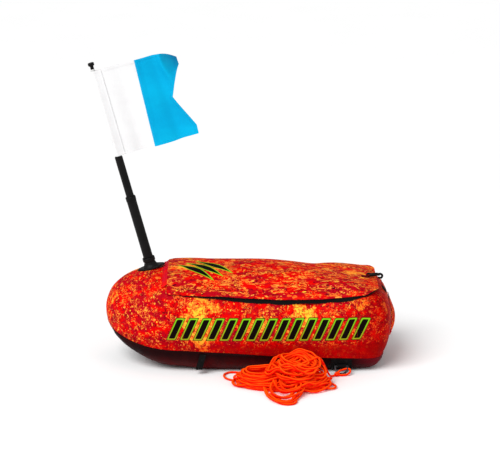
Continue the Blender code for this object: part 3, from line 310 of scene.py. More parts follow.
# ------------------------------------------------------------------- the floor
def floor():
    ob = new_mesh("floor", [(-40, -40, -0.0006), (40, -40, -0.0006), (40, 40, -0.0006), (-40, 40, -0.0006)], [(0, 1, 2, 3)], smooth=False)
    n = Nodes("floor")
    f = n.noise(n.coords(), 3.0, 3)
    give(ob, n.out(Base_Color=n.mix(n.ramp(f, .3, .7), (0.955, 0.955, 0.955), (0.965, 0.965, 0.965)), Roughness=0.9, Specular_IOR_Level=0.1))
    return ob


floor()

# -------------------------------------------------------------- hull's surface
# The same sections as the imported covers', read more finely.
NOSE_POLE, STERN_POLE, NOSE_REACH, STERN_REACH, HALF_WIDTH = -0.165, 0.262, 0.180, 0.063, 0.136
NOSE_SEAM_Z, STERN_SEAM_Z = 0.092, 0.033
LID_X0, LID_X1, LID_T, LID_HALF, LID_CORNER = -0.198, 0.307, 0.0030, 0.118, 0.040
FULL = [(1, 0), (1.035, .16), (1.04, .33), (1.01, .51), (.955, .655), (.885, .76), (.79, .84), (.68, .895), (.55, .935), (.28, .98), (0, 1)]
NOSE = [(1, 0), (1.028, .17), (1.022, .35), (.975, .53), (.90, .67), (.80, .78), (.67, .865), (.52, .92), (.36, .955), (.18, .985), (0, 1)]
DECK = [(1, 0), (1.035, .14), (1.045, .28), (1.03, .42), (.985, .545), (.91, .64), (.82, .735), (.70, .82), (.55, .895), (.28, .97), (0, 1)]
AFT = [(1, 0), (1.04, .18), (1.06, .37), (1.055, .56), (1.04, .72), (1.0, .83), (.93, .905), (.80, .955), (.55, .985), (.28, .995), (0, 1)]
STERN = [(1, 0), (1.12, .10), (1.22, .23), (1.285, .40), (1.27, .56), (1.19, .70), (1.05, .81), (.85, .89), (.60, .95), (.30, .985), (0, 1)]
BELLY = [(1, 0), (.975, .30), (.93, .56), (.86, .78), (.78, .92), (.70, 1), (.50, 1), (.25, 1), (0, 1)]
NOSE_BELLY = [(1, 0), (.965, .15), (.90, .29), (.80, .42), (.68, .54), (.55, .66), (.40, .78), (.20, .91), (0, 1)]
STERN_BELLY = [(1, 0), (.96, .30), (.89, .56), (.80, .78), (.70, .92), (.58, 1), (.40, 1), (.20, 1), (0, 1)]


def table(x, xs, ys):
    """Smooth curve through the points (xs, ys), without overshoot."""
    xs, ys = np.asarray(xs, float), np.asarray(ys, float)
    h, d = np.diff(xs), np.diff(ys) / np.diff(xs)
    m = np.zeros(len(xs))
    m[0], m[-1] = d[0], d[-1]
    for i in range(1, len(xs) - 1):
        if d[i - 1] * d[i] > 0:
            w1, w2 = 2 * h[i] + h[i - 1], h[i] + 2 * h[i - 1]
            m[i] = (w1 + w2) / (w1 / d[i - 1] + w2 / d[i])
    x = min(max(float(x), xs[0]), xs[-1])
    i = min(int(np.searchsorted(xs, x, side="right")) - 1, len(xs) - 2)
    t = (x - xs[i]) / h[i]
    return float((2 * t**3 - 3 * t**2 + 1) * ys[i] + (t**3 - 2 * t**2 + t) * h[i] * m[i]
                 + (3 * t**2 - 2 * t**3) * ys[i + 1] + (t**3 - t**2) * h[i] * m[i + 1])


def lid_top(x):
    return table(x, [-.198, -.165, -.102, -.053, 0, .04, .086, .152, .208, .262, .29, .313],
                 [.2335, .2355, .2390, .2405, .2410, .2400, .2360, .2260, .2180, .2100, .2040, .1985])


def lid_edge(x):
    return table(x, [-.198, -.148, -.053, 0, .04, .096, .152, .208, .25, .285, .313],
                 [.1945, .1918, .1885, .1850, .1830, .1815, .1820, .1860, .1905, .1940, .1960])


def lid_power(x):
    return table(x, [-.198, -.155, -.09, .05, .15, .25, .313], [3.6, 3.6, 2.7, 2.4, 2.9, 9.0, 9.0])


def crown(x):
    return lid_top(x) - LID_T - table(x, [-.165, -.12, -.06, .20, .262], [.0012, .0050, .0085, .0085, .0040])


def seam_z(x):
    return table(x, [-.165, -.053, 0, .07, .19, .262], [.0575, .0525, .0490, .0440, .0395, .0350])


def half_width(x):
    return table(x, [-.165, -.06, .09, .19, .262], [.1320, HALF_WIDTH, HALF_WIDTH, .1320, .1230])


def keel_z(x):
    return 0.0 if x > -0.10 else 0.075 * ((-0.10 - x) / 0.245) ** 1.8


def blend2(a, b, t):
    return [((1 - t) * p[0] + t * q[0], (1 - t) * p[1] + t * q[1]) for p, q in zip(a, b)]


def mid_column(x, side):
    w, zs, zt, zk = half_width(x), seam_z(x), crown(x), keel_z(x)
    f = min(max((x - NOSE_POLE) / 0.075, 0), 1)
    a = min(max((x - 0.13) / (STERN_POLE - 0.13), 0), 1)
    f, a = f * f * (3 - 2 * f), a * a * (3 - 2 * a)
    up = blend2(blend2(FULL, DECK, f), AFT, a)
    return ([(x, side * r * w, zs + h * (zt - zs)) for r, h in up],
            [(x, side * r * w, zs - h * (zs - zk)) for r, h in BELLY])


def nose_column(angle):
    ca, sa = math.cos(angle), math.sin(angle)
    ca = max(ca, 0.0)
    dx, dy = -NOSE_REACH * ca, half_width(NOSE_POLE) * sa
    t = ca * ca
    zs = seam_z(NOSE_POLE) + (NOSE_SEAM_Z - seam_z(NOSE_POLE)) * ca ** 2.2
    zt, zk = crown(NOSE_POLE), keel_z(NOSE_POLE)
    return ([(NOSE_POLE + r * dx, r * dy, zs + h * (zt - zs)) for r, h in blend2(FULL, NOSE, t)],
            [(NOSE_POLE + r * dx, r * dy, zs - h * (zs - zk)) for r, h in blend2(BELLY, NOSE_BELLY, t)])


def stern_column(angle):
    ca, sa = math.cos(angle), math.sin(angle)
    p = 0.58
    dx = STERN_REACH * abs(ca) ** p
    dy = half_width(STERN_POLE) * math.copysign(abs(sa) ** p, sa)
    t = abs(ca) ** 1.2
    zs = seam_z(STERN_POLE) + (STERN_SEAM_Z - seam_z(STERN_POLE)) * t
    zt = crown(STERN_POLE)
    return ([(STERN_POLE + r * dx, r * dy, zs + h * (zt - zs)) for r, h in blend2(AFT, STERN, t)],
            [(STERN_POLE + r * dx, r * dy, zs - h * zs) for r, h in blend2(BELLY, STERN_BELLY, t)])


def finer(rows, per):
    """Catmull-Rom through the rows of one column."""
    p = np.asarray(rows, float)
    q = np.vstack([2 * p[0] - p[1], p, 2 * p[-1] - p[-2]])
    q[-1] = p[-2] * [1, -1, 1] if abs(p[-1][1]) < 1e-9 else q[-1]
    t = np.linspace(0, 1, per, endpoint=False)[:, None]
    out = []
    for a, b, c, d in zip(q[:-3], q[1:-2], q[2:-1], q[3:]):
        out.append(0.5 * ((2 * b) + (-a + c) * t + (2 * a - 5 * b + 4 * c - d) * t**2 + (-a + 3 * b - 3 * c + d) * t**3))
    return np.vstack(out + [p[-1:]])


PER = 5
N_NOSE, N_MID, N_STERN = 34, 122, 30


def spread(n):
    """Angles from 0 to 90 degrees, closer together where a stern column turns fast."""
    u = np.linspace(0, 1, n + 1)
    return list(np.pi / 2 * (u - 0.09 * np.sin(2 * np.pi * u)))


mid_x = np.linspace(NOSE_POLE, STERN_POLE, N_MID + 1)
nose_a = np.linspace(0, np.pi / 2, N_NOSE + 1)


def stern_angles():
    # equal steps along the stern's outline
    a = np.linspace(0, np.pi / 2, 2001)
    x, y = STERN_REACH * np.cos(a) ** .58, half_width(STERN_POLE) * np.sin(a) ** .58
    s = np.concatenate([[0], np.cumsum(np.hypot(np.diff(x), np.diff(y)))])
    return np.interp(np.linspace(0, s[-1], N_STERN + 1), s, a)


st_a = stern_angles()
COLUMNS = [nose_column(-a) for a in nose_a[:-1]] + [mid_column(x, -1) for x in mid_x] + [stern_column(-a) for a in st_a[::-1][1:]]
COLUMNS += [stern_column(a) for a in st_a[1:-1]] + [mid_column(x, 1) for x in mid_x[::-1]] + [nose_column(a) for a in nose_a[::-1][1:-1]]
UP = np.array([finer(c[0], PER) for c in COLUMNS])
DOWN = np.array([finer(c[1], PER) for c in COLUMNS])
DOWN[..., 2] = np.maximum(DOWN[..., 2], 0.0)
NC = len(COLUMNS)
P0, P1 = N_NOSE, N_NOSE + N_MID                      # port middle columns
S0 = P1 + 2 * N_STERN                                # starboard middle columns
S1 = S0 + N_MID


def grid_normals(g, closed=True):
    """Outward unit normals of a grid [column][row]."""
    if closed:
        du = np.roll(g, -1, 0) - np.roll(g, 1, 0)
    else:
        du = np.gradient(g, axis=0)
    dv = np.gradient(g, axis=1)
    n = np.cross(du, dv)
    l = np.linalg.norm(n, axis=2, keepdims=True)
    bad = l[..., 0] < 1e-12
    n = n / np.maximum(l, 1e-12)
    if bad.any():
        n[bad] = 0
    return n


def wave(p, freq, seed, n=7):
    """Smooth noise of about -1 to 1 from a sum of tilted waves."""
    rng = np.random.default_rng(seed)
    out = np.zeros(p.shape[:-1])
    for _ in range(n):
        k = rng.normal(size=3)
        k *= freq * rng.uniform(.6, 1.4) / np.linalg.norm(k)
        out += np.sin(p @ k * 2 * np.pi + rng.uniform(0, 6.28))
    return out / math.sqrt(n / 2) / 1.6


def near(d, w):
    return np.exp(-(d / w) ** 2)


def arc_length(g):
    """Length along each column from row 0."""
    return np.concatenate([np.zeros((g.shape[0], 1)), np.cumsum(np.linalg.norm(np.diff(g, axis=1), axis=2), axis=1)], 1)


NUP = grid_normals(UP)
if np.mean((NUP * (UP - np.array([0, 0, .11]))).sum(2)) < 0:
    NUP = -NUP
NDN = grid_normals(DOWN)
if np.mean((NDN[:, :20] * (DOWN[:, :20] - np.array([0, 0, .11]))).sum(2)) < 0:
    NDN = -NDN


def girth():
    """Length along the seam line, one value per column."""
    s = UP[:, 0]
    d = np.linalg.norm(np.roll(s, -1, 0) - s, axis=1)
    return np.concatenate([[0], np.cumsum(d)[:-1]]), d.sum()


GIRTH, GIRTH_ALL = girth()
ROW_S = arc_length(UP)


def relief():
    """How far the inflated cover stands in or out of the plain section."""
    x, y, z = UP[..., 0], UP[..., 1], UP[..., 2]
    s = GIRTH[:, None]
    r = np.zeros(UP.shape[:2])
    # gathers along the seam with the belly, each a few centimetres up
    ph = s * 2 * np.pi
    g = np.sin(ph / .0223 + 1.3 * np.sin(ph / .091)) * .6 + np.sin(ph / .0141 + 2.1 * np.sin(ph / .13) + 1.0) * .4
    r += 0.00055 * g * np.exp(-ROW_S / .016) * (0.45 + 0.55 * np.abs(np.sin(ph / .33)))
    # the seam's own roll
    r += 0.0010 * near(ROW_S - .0032, .0022) - 0.0007 * near(ROW_S - .0078, .0016)
    # panel seams at the nose and the stern, with a shallow valley and puckers
    up_s = ROW_S
    for x0, amp in ((NOSE_POLE, 1.0), (STERN_POLE, 1.0)):
        d = x - x0
        r -= 0.0010 * amp * near(d, .0016)
        r += 0.00045 * amp * near(np.abs(d) - .0048, .0021)
        r += 0.00035 * amp * np.sin(up_s * 2 * np.pi / .0155 + 1.7 * np.sin(up_s * 2 * np.pi / .06)) * near(np.abs(d) - .010, .0075)
    # soft unevenness of an inflated bladder under fabric
    r += 0.00110 * wave(UP, 6.5, 3) + 0.00040 * wave(UP * [1, 1, 1.4], 17.0, 4)
    # long lengthwise tension lines below the lid's edge and on the nose's shoulder
    t = np.sin(z * 2 * np.pi / .0155 + 3.0 * np.sin(x * 5.0) + 1.4 * np.sin(x * 21.0))
    r += 0.00030 * t * near(z - .155, .022) * (np.abs(y) > .07) * (x > -.15)
    # a crease where the side rolls into the stern
    r -= 0.0011 * near(x - .2900 + 0.10 * (z - .11), .0050) * near(z - .085, .050)
    r += 0.0007 * near(x - .3000 + 0.10 * (z - .11), .0050) * near(z - .085, .050)
    r -= 0.0012 * near(x - .247 + .25 * (z - .15), .0045) * near(z - .150, .028)
    return r


REL = relief()
SURF = UP + NUP * REL[..., None]
SURF[:, 0] = UP[:, 0]


def closed_sheet(name, out, inn, closed_cols=False):
    """Closed solid between two equal grids of points, [column][row]."""
    n, m = out.shape[:2]
    verts = np.vstack([out.reshape(-1, 3), inn.reshape(-1, 3)])
    faces = []
    K = n * m
    cols = n if closed_cols else n - 1
    for i in range(cols):
        k = (i + 1) % n
        for j in range(m - 1):
            a, b, c, d = i * m + j, k * m + j, k * m + j + 1, i * m + j + 1
            faces.append((a, b, c, d))
            faces.append((K + a, K + d, K + c, K + b))
        faces.append((i * m, K + i * m, K + k * m, k * m))
        faces.append((i * m + m - 1, k * m + m - 1, K + k * m + m - 1, K + i * m + m - 1))
    if not closed_cols:
        for j in range(m - 1):
            faces.append((j, j + 1, K + j + 1, K + j))
            a = (n - 1) * m
            faces.append((a + j, K + a + j, K + a + j + 1, a + j + 1))
    ob = new_mesh(name, verts, faces)
    bm = bmesh.new()
    bm.from_mesh(ob.data)
    bmesh.ops.remove_doubles(bm, verts=bm.verts, dist=2e-6)
    bmesh.ops.dissolve_degenerate(bm, edges=bm.edges, dist=1e-7)
    bmesh.ops.recalc_face_normals(bm, faces=bm.faces)
    if bm.calc_volume(signed=True) < 0:
        bmesh.ops.reverse_faces(bm, faces=bm.faces)
    bm.to_mesh(ob.data)
    bm.free()
    ob.data.shade_smooth()
    ob.data.set_sharp_from_angle(angle=math.radians(50))
    return ob


def print_layers(n, p, kind):
    """Colour of the mottled print, from object coordinates in metres."""
    X = n.xyz(p)
    q = n.scale(p, (1.0, 1.0, 1.0) if kind != "lid" else (0.42, 1.0, 1.0))
    warp = n.vmath("SCALE", n.vmath("SUBTRACT", n("ShaderNodeTexNoise", {"Vector": q, "Scale": 38.0, "Detail": 2.0}).outputs["Color"], (.5, .5, .5)), None)
    warp.node.inputs["Scale"].default_value = 0.020
    qw = n.vmath("ADD", q, warp)
    big = n.noise(q, 13.0, 3, .55)
    mid = n.noise(qw, 34.0, 3, .6)
    mid2 = n.noise(n.vmath("ADD", qw, (3.1, 1.7, .4)), 27.0, 3, .6)
    fine = n.noise(qw, 150.0, 3, .65)
    # grounds
    n_cell = .84 if kind == "side" else .72
    red, crimson, orange = (0.68, 0.0010, 0.0008), (0.42, 0.0006, 0.0080), (0.80, 0.0120, 0.0020)
    col = n.mix(n.ramp(mid, .44, .56), red, crimson)
    col = n.mix(n.math("MULTIPLY", n.ramp(mid2, .56, .66), .60 if kind == "side" else .80), col, orange)
    # pale cells: rings and blots between thin walls
    vd = n("ShaderNodeTexVoronoi", {"Vector": qw, "Scale": 185.0}, feature="DISTANCE_TO_EDGE").outputs["Distance"]
    cell = n("ShaderNodeTexVoronoi", {"Vector": qw, "Scale": 185.0})
    cid = n.xyz(cell.outputs["Color"])
    pale = n.mix(n.ramp(cid[1], .2, .9), (0.92, 0.10, 0.010), (0.92, 0.36, 0.045))
    where = n.math("MULTIPLY", n.ramp(cid[0], n_cell, n_cell + .05), n.ramp(vd, .060, .130))
    col = n.mix(n.math("MULTIPLY", where, n.ramp(fine, .36, .52)), col, pale)
    # squiggles: contour lines of a noise field
    w1 = n.noise(qw, 104.0, 2, .5, 1.2)
    line1 = n.ramp(n.math("ABSOLUTE", n.math("SUBTRACT", w1, .5)), .036, .016)
    w2 = n.noise(n.vmath("ADD", qw, (1.3, 4.2, 2.2)), 118.0, 2, .5, 1.0)
    line2 = n.ramp(n.math("ABSOLUTE", n.math("SUBTRACT", w2, .52)), .034, .014)
    keep1 = n.ramp(n.noise(q, 55.0, 2), .49, .58) if kind == "side" else n.ramp(n.noise(q, 55.0, 2), .44, .54)
    col = n.mix(n.math("MULTIPLY", line1, keep1), col, (0.96, 0.27, 0.030))
    keep2 = n.ramp(n.noise(n.vmath("ADD", q, (5, 1, 2)), 48.0, 2), .40, .50)
    col = n.mix(n.math("MULTIPLY", n.math("MULTIPLY", line2, keep2), .85), col, (0.10, 0.001, 0.004))
    # yellow and orange fields, made of crowded flecks
    f1 = n.noise(qw, 210.0, 2, .6)
    base = n.math("ADD", big, n.math("MULTIPLY", n.math("SUBTRACT", mid, .5), .35))
    if kind == "side":
        up = n.math("MULTIPLY", n.ramp(X[2], .105, .150), .055)
        aft = n.math("MULTIPLY", n.ramp(X[0], .17, .23), -.055)
        nose = n.math("MULTIPLY", n.ramp(X[0], -.15, -.20), -.100)
        low = n.math("MULTIPLY", n.ramp(X[2], .088, .066), -.075)
        base = n.math("ADD", n.math("ADD", n.math("ADD", base, up), n.math("ADD", aft, low)), nose)
    fld = n.ramp(base, .600, .625)
    spot = n.mix(n.ramp(f1, .42, .60), (0.90, 0.085, 0.008), (0.94, 0.44, 0.032))
    col = n.mix(n.math("MULTIPLY", fld, n.ramp(fine, .38, .50)), col, spot)
    bright = n.ramp(base, .680, .700)
    col = n.mix(n.math("MULTIPLY", bright, n.ramp(f1, .40, .50)), col, (0.92, 0.52, 0.030))
    # small dots: pale, yellow and a few dark ones
    for sc, cut, rad, c, off in ((250.0, .76, .25, (0.97, 0.36, 0.06), (0, 0, 0)), (150.0, .90, .27, (0.94, 0.52, 0.035), (2, 3, 1)), (170.0, .90, .28, (0.05, 0.001, 0.006), (6, 1, 3))):
        v = n("ShaderNodeTexVoronoi", {"Vector": n.vmath("ADD", qw, off), "Scale": sc})
        c0 = n.xyz(v.outputs["Color"])[0]
        dot = n.math("MULTIPLY", n.ramp(c0, cut, cut + .02), n.ramp(v.outputs["Distance"], rad, rad * .65))
        col = n.mix(dot, col, c)
    return col, X


def fabric_bump(n, p, sc=1.0, extra=None):
    """Fine cross weave of a coated fabric, with a soft unevenness."""
    u = n.xyz(n.uv())
    h = n.noise(p, 420.0 * sc, 2, .5)
    b = n.bump(h, 0.16, 0.0005)
    h2 = n.noise(p, 62.0, 2, .5)
    b = n.bump(h2, 0.20, 0.0012, b)
    if extra is not None:
        b = n.bump(extra, 0.6, 0.0006, b)
    return b


def stripe(n, X, col):
    """A row of plain slanted bars along each side, black with a lime edge."""
    zc, hh, pitch, width, slant = 0.1130, 0.0265, 0.0315, 0.0205, 0.45
    u = n.math("DIVIDE", n.math("SUBTRACT", n.math("SUBTRACT", X[0], -0.1920), n.math("MULTIPLY", n.math("SUBTRACT", X[2], zc), slant)), pitch)
    du = n.math("MULTIPLY", n.math("ABSOLUTE", n.math("SUBTRACT", n.math("FRACT", u), .5)), pitch)
    dx = n.math("SUBTRACT", width / 2, du)
    dz = n.math("SUBTRACT", hh, n.math("ABSOLUTE", n.math("SUBTRACT", X[2], zc)))
    d = n("ShaderNodeMath", {0: dx, 1: dz, 2: 0.004}, operation="SMOOTH_MIN").outputs[0]
    run = n.math("MULTIPLY", n.math("GREATER_THAN", u, 0.0), n.math("LESS_THAN", u, 15.0))
    inside = n.math("MULTIPLY", n.ramp(d, -.0004, .0004), run)
    core = n.math("MULTIPLY", n.ramp(d, .0028, .0036), run)
    lime = n.mix(n.ramp(X[2], zc - .02, zc + .02), (0.30, 0.33, 0.010), (0.20, 0.52, 0.010))
    edge = n.math("MULTIPLY", n.ramp(d, -.0020, -.0012), run)
    col = n.mix(edge, col, (0.05, 0.020, 0.004))
    col = n.mix(inside, col, lime)
    return n.mix(core, col, (0.0045, 0.0020, 0.0018))


def print_material(name, kind):
    n = Nodes(name)
    p = n.coords()
    col, X = print_layers(n, p, kind)
    if kind == "side":
        # plainer band low on the sides
        low = n.math("MULTIPLY", n.ramp(X[2], .080, .066), n.ramp(X[0], -.12, -.04))
        f = n.noise(p, 60.0, 3)
        plain = n.mix(n.ramp(f, .35, .65), (0.56, 0.0008, 0.0006), (0.40, 0.0006, 0.0030))
        col = n.mix(n.math("MULTIPLY", low, .80), col, plain)
        deep = n.ramp(X[0], .22, .30)
        col = n.mix(deep, col, n.mix(1.0, col, (0.73, 0.25, 0.27), "MULTIPLY"))
        foot = n.ramp(X[2], .105, .060)
        col = n.mix(foot, col, n.mix(1.0, col, (0.83, 0.38, 0.42), "MULTIPLY"))
        col = stripe(n, X, col)
    if kind == "lid":
        # three plain tapered bars near the front
        ca, sa = math.cos(math.radians(-40)), math.sin(math.radians(-40))
        rx, ry = n.math("ADD", X[0], .110), n.math("ADD", X[1], .034)
        along = n.math("ADD", n.math("MULTIPLY", rx, ca), n.math("MULTIPLY", ry, sa))
        cross = n.math("SUBTRACT", n.math("MULTIPLY", ry, ca), n.math("MULTIPLY", rx, sa))
        v = n.math("MULTIPLY", n.math("ADD", cross, 0.0345), 1 / .0230)
        dv = n.math("MULTIPLY", n.math("ABSOLUTE", n.math("SUBTRACT", n.math("FRACT", v), .5)), .0230)
        run = n.math("MULTIPLY", n.math("GREATER_THAN", v, 0.0), n.math("LESS_THAN", v, 3.0))
        x0 = n.math("ADD", -.010, n.math("MULTIPLY", n.math("FLOOR", v), .010))
        dxx = n.math("SUBTRACT", .060, n.math("ABSOLUTE", n.math("SUBTRACT", along, x0)))
        wid = n.ramp(dxx, 0.0, .050, .0006, .0105, smooth=False)
        d = n.math("MINIMUM", n.math("SUBTRACT", wid, dv), dxx)
        col = n.mix(n.math("MULTIPLY", n.ramp(d, -.0004, .0004), run), col, (0.22, 0.50, 0.010))
        col = n.mix(n.math("MULTIPLY", n.ramp(d, .0018, .0026), run), col, (0.0045, 0.0020, 0.0018))
    rough = n.ramp(n.noise(p, 90.0, 2), .3, .7, .50, .66)
    return n.out(Base_Color=col, Roughness=rough, Normal=fabric_bump(n, p), Specular_IOR_Level=0.02)


SIDE_PRINT = print_material("printed_cover", "side")
LID_PRINT = print_material("printed_lid", "lid")


def belly_material():
    n = Nodes("belly_fabric")
    p = n.coords()
    X = n.xyz(p)
    f = n.noise(p, 22.0, 4, .6)
    # painted shade: the dark maroon fabric is coloured near black, as the shade under the hull's overhang
    col = n.mix(n.ramp(f, .35, .7), (0.008, 0.0006, 0.0010), (0.016, 0.0008, 0.0014))
    lower = n.math("MULTIPLY", n.ramp(X[2], .050, .012), n.ramp(X[0], .10, -.02))
    col = n.mix(lower, col, n.mix(n.ramp(f, .35, .7), (0.050, 0.0012, 0.0020), (0.085, 0.0016, 0.0030)))
    # towards the stern the painted shade gives way to the fabric's redder dark maroon
    col = n.mix(n.ramp(X[0], .235, .315), col, n.mix(n.ramp(f, .35, .7), (0.085, 0.0012, 0.005), (0.135, 0.0015, 0.008)))
    scuff = n.math("MULTIPLY", n.ramp(n.noise(n.scale(p, (1, 4, 4)), 60.0, 4, .7), .60, .75), n.ramp(X[2], .02, .0))
    col = n.mix(n.math("MULTIPLY", scuff, .30), col, (0.05, 0.010, 0.010))
    # square weave of the coated base
    w = n.math("MULTIPLY", n.math("SINE", n.math("MULTIPLY", X[0], 2 * math.pi / .0016)), n.math("SINE", n.math("MULTIPLY", X[1], 2 * math.pi / .0016)))
    return n.out(Base_Color=col, Roughness=n.ramp(f, .3, .7, .42, .60), Normal=n.bump(n.noise(p, 70.0, 2), .2, .001, n.bump(w, .22, .0004)), Specular_IOR_Level=0.04)


BELLY_MAT = belly_material()


def thread_material(name, col):
    n = Nodes(name)
    u = n.xyz(n.uv())
    tw = n.math("SINE", n.math("ADD", n.math("MULTIPLY", u[0], 2 * math.pi / .0011), n.math("MULTIPLY", u[1], 2 * math.pi)))
    c = n.mix(n.ramp(tw, -1, 1), tuple(v * .6 for v in col), col)
    return n.out(Base_Color=c, Roughness=.55, Normal=n.bump(tw, .5, .0002), Specular_IOR_Level=.08)


THREAD = thread_material("red_thread", (0.55, 0.012, 0.012))
DARK_THREAD = thread_material("dark_thread", (0.03, 0.03, 0.032))


def stitches(name, line, normals, length=.0030, gap=.0014, r=.00032, lift=.00022, mat=None, closed=False):
    """A row of short thread stitches lying on a surface, as one mesh."""
    p, nn = np.asarray(line, float), np.asarray(normals, float)
    if closed:
        p, nn = np.vstack([p, p[:1]]), np.vstack([nn, nn[:1]])
    s = np.concatenate([[0], np.cumsum(np.linalg.norm(np.diff(p, axis=0), axis=1))])
    at = lambda v: np.array([np.interp(v, s, p[:, k]) for k in range(3)])
    na = lambda v: np.array([np.interp(v, s, nn[:, k]) for k in range(3)])
    verts, faces, uv = [], [], []
    pitch = length + gap
    n = int(s[-1] // pitch)
    sides = 5
    prof = [(0.0, .35, -.6), (.16, .85, .25), (.5, 1.0, .9), (.84, .85, .25), (1.0, .35, -.6)]
    for i in range(n):
        s0 = i * pitch
        ring0 = len(verts)
        for f, k, up in prof:
            c = at(s0 + f * length)
            t = at(min(s0 + f * length + 2e-4, s[-1])) - at(max(s0 + f * length - 2e-4, 0))
            t /= max(np.linalg.norm(t), 1e-12)
            m = na(s0 + f * length)
            m /= max(np.linalg.norm(m), 1e-12)
            b = np.cross(t, m)
            c = c + m * (lift + up * r)
            for j in range(sides):
                a = 2 * math.pi * j / sides
                verts.append(c + (m * math.cos(a) + b * math.sin(a)) * r * k)
                uv.append((s0 + f * length, j / sides))
        for q in range(len(prof) - 1):
            for j in range(sides):
                l = (j + 1) % sides
                faces.append((ring0 + q * sides + j, ring0 + q * sides + l, ring0 + (q + 1) * sides + l, ring0 + (q + 1) * sides + j))
        faces.append(tuple(ring0 + j for j in range(sides))[::-1])
        faces.append(tuple(ring0 + (len(prof) - 1) * sides + j for j in range(sides)))
    ob = new_mesh(name, verts, faces, uvs=uv)
    outward(ob)
    give(ob, mat or THREAD)
    return ob


def cover_panel(name, cols, last_row, node, lo, hi):
    out = SURF[cols][:, :last_row + 1].copy()
    nn = NUP[cols][:, :last_row + 1]
    inn = UP[cols][:, :last_row + 1] - nn * .0015 + nn * np.minimum(REL[cols][:, :last_row + 1], 0)[..., None] * .9
    out[:, 0, 2] += .0002
    inn[:, 0, 2] += .0002
    for g in (out, inn):
        g[..., 0] = np.clip(g[..., 0], lo, hi)
    ob = closed_sheet(name, out, inn)
    give(ob, SIDE_PRINT)
    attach(ob, "hull")
    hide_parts(node)
    return ob


RIM = 8 * PER
nose_cols = [(S1 + i) % NC for i in range(2 * N_NOSE + 1)]
cover_panel("nose_panel", nose_cols, 10 * PER, "nose_cover", -1, NOSE_POLE - .0001)
cover_panel("stern_panel", list(range(P1, S0 + 1)), 10 * PER, "stern_cover", STERN_POLE + .0001, 1)
cover_panel("port_panel", list(range(P0, P1 + 1)), RIM, "side_panel_port", NOSE_POLE + .0001, STERN_POLE - .0001)
cover_panel("starboard_panel", list(range(S0, S1 + 1)), RIM, "side_panel_starboard", NOSE_POLE + .0001, STERN_POLE - .0001)


def belly_piece():
    s = GIRTH[:, None]
    d = arc_length(DOWN)
    ph = s * 2 * np.pi
    r = 0.0008 * np.sin(ph / .0235 + 1.1 * np.sin(ph / .10)) * np.exp(-d / .020) * np.minimum(d / .006, 1)
    r += 0.0009 * near(d - .0028, .0020) - .0006 * near(d - .0070, .0016)
    high = np.clip(DOWN[..., 2] / .012, 0, 1)
    r += 0.0010 * wave(DOWN, 8.0, 9) * high
    out = DOWN + NDN * (r * np.clip(DOWN[..., 2] / .004, 0, 1))[..., None]
    out[..., 2] = np.where(DOWN[..., 2] < 1e-6, 0.0, np.maximum(out[..., 2], 0.0002))
    inn = DOWN - NDN * .0015
    flat = DOWN[..., 2] < 1e-5
    inn[flat] = DOWN[flat] + [0, 0, .0015]
    inn[..., 2] = np.maximum(inn[..., 2], .0015)
    out[:, 0] = DOWN[:, 0] - [0, 0, .0002]
    inn[:, 0, 2] = out[:, 0, 2]
    ob = closed_sheet("belly_fabric", out, inn, closed_cols=True)
    give(ob, BELLY_MAT)
    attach(ob, "hull")
    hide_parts("belly_panel")
    return ob


belly_piece()


def seam_lines():
    """Stitch rows: along the belly seam and beside the panel seams."""
    rows = []
    # just above the belly seam, all the way round
    col = np.arange(NC)

    def at_s(c, s0):
        r = np.interp(s0, ROW_S[c], np.arange(UP.shape[1]))
        i = int(r)
        f = r - i
        return SURF[c, i] * (1 - f) + SURF[c, min(i + 1, UP.shape[1] - 1)] * f, NUP[c, i]
    a = [at_s(c, .0078) for c in col]
    rows.append(stitches("belly_seam_stitches", [v[0] for v in a], [v[1] for v in a], closed=True))
    # beside the nose and stern seams, from the belly seam to the lid
    for nm, cc, rows_to in (("nose_seam_stitches_port", P0 + 2, RIM), ("nose_seam_stitches_starboard", S1 - 2, RIM),
                            ("stern_seam_stitches_port", P1 - 2, RIM), ("stern_seam_stitches_starboard", S0 + 2, RIM)):
        rows.append(stitches(nm, SURF[cc, 4:rows_to], NUP[cc, 4:rows_to]))
    for ob in rows:
        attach(ob, "hull")


seam_lines()


def pocket_rim():
    """Rolled binding along the edge of the pocket's opening."""
    for nm, cc in (("pocket_rim_port", range(P0 + 1, P1)), ("pocket_rim_starboard", range(S0 + 1, S1))):
        line = [SURF[c, RIM] + [0, 0, -.0004] for c in cc]
        ob = tube_mesh(nm, line, .0016, sides=10)
        n = Nodes(nm + "_tape")
        p = n.coords()
        w = n.math("SINE", n.math("MULTIPLY", n.xyz(n.uv())[0], 2 * math.pi / .0012))
        give(ob, n.out(Base_Color=n.mix(n.ramp(w, -1, 1), (0.02, 0.02, 0.022), (0.045, 0.045, 0.048)), Roughness=.8, Normal=n.bump(w, .5, .0003)))
        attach(ob, "hull")


pocket_rim()

# --------------------------------------------------------------------- the lid
def lid_half(x):
    d = (x - (LID_X1 - LID_CORNER)) / LID_CORNER
    return LID_HALF if d <= 0 else LID_HALF * (1 - 0.27 * min(d, 1) ** 2.6)


def lid_z(x, y):
    s = min(abs(y) / LID_HALF, 1.0)
    return lid_top(x) - (lid_top(x) - lid_edge(x)) * s ** lid_power(x)


def nose_z(x, y):
    """Height of the nose cover's top at a point, found along its own column."""
    dx, dy = (NOSE_POLE - x) / NOSE_REACH, y / half_width(NOSE_POLE)
    col = finer(nose_column(math.atan2(dy, dx))[0], PER)
    r_here = math.hypot(dx, dy)
    rs = np.hypot((NOSE_POLE - col[:, 0]) / NOSE_REACH, col[:, 1] / half_width(NOSE_POLE))
    k = 7 * PER
    return float(np.interp(r_here, rs[::-1][:k], col[::-1, 2][:k]))


def hull_y(x, z):
    """Half width of the cover at a height, on its upper sides."""
    col = finer(mid_column(min(max(x, NOSE_POLE), STERN_POLE), 1)[0], PER)
    return float(np.interp(z, col[:, 2], col[:, 1]))


def on_lid(ob):
    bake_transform(ob)


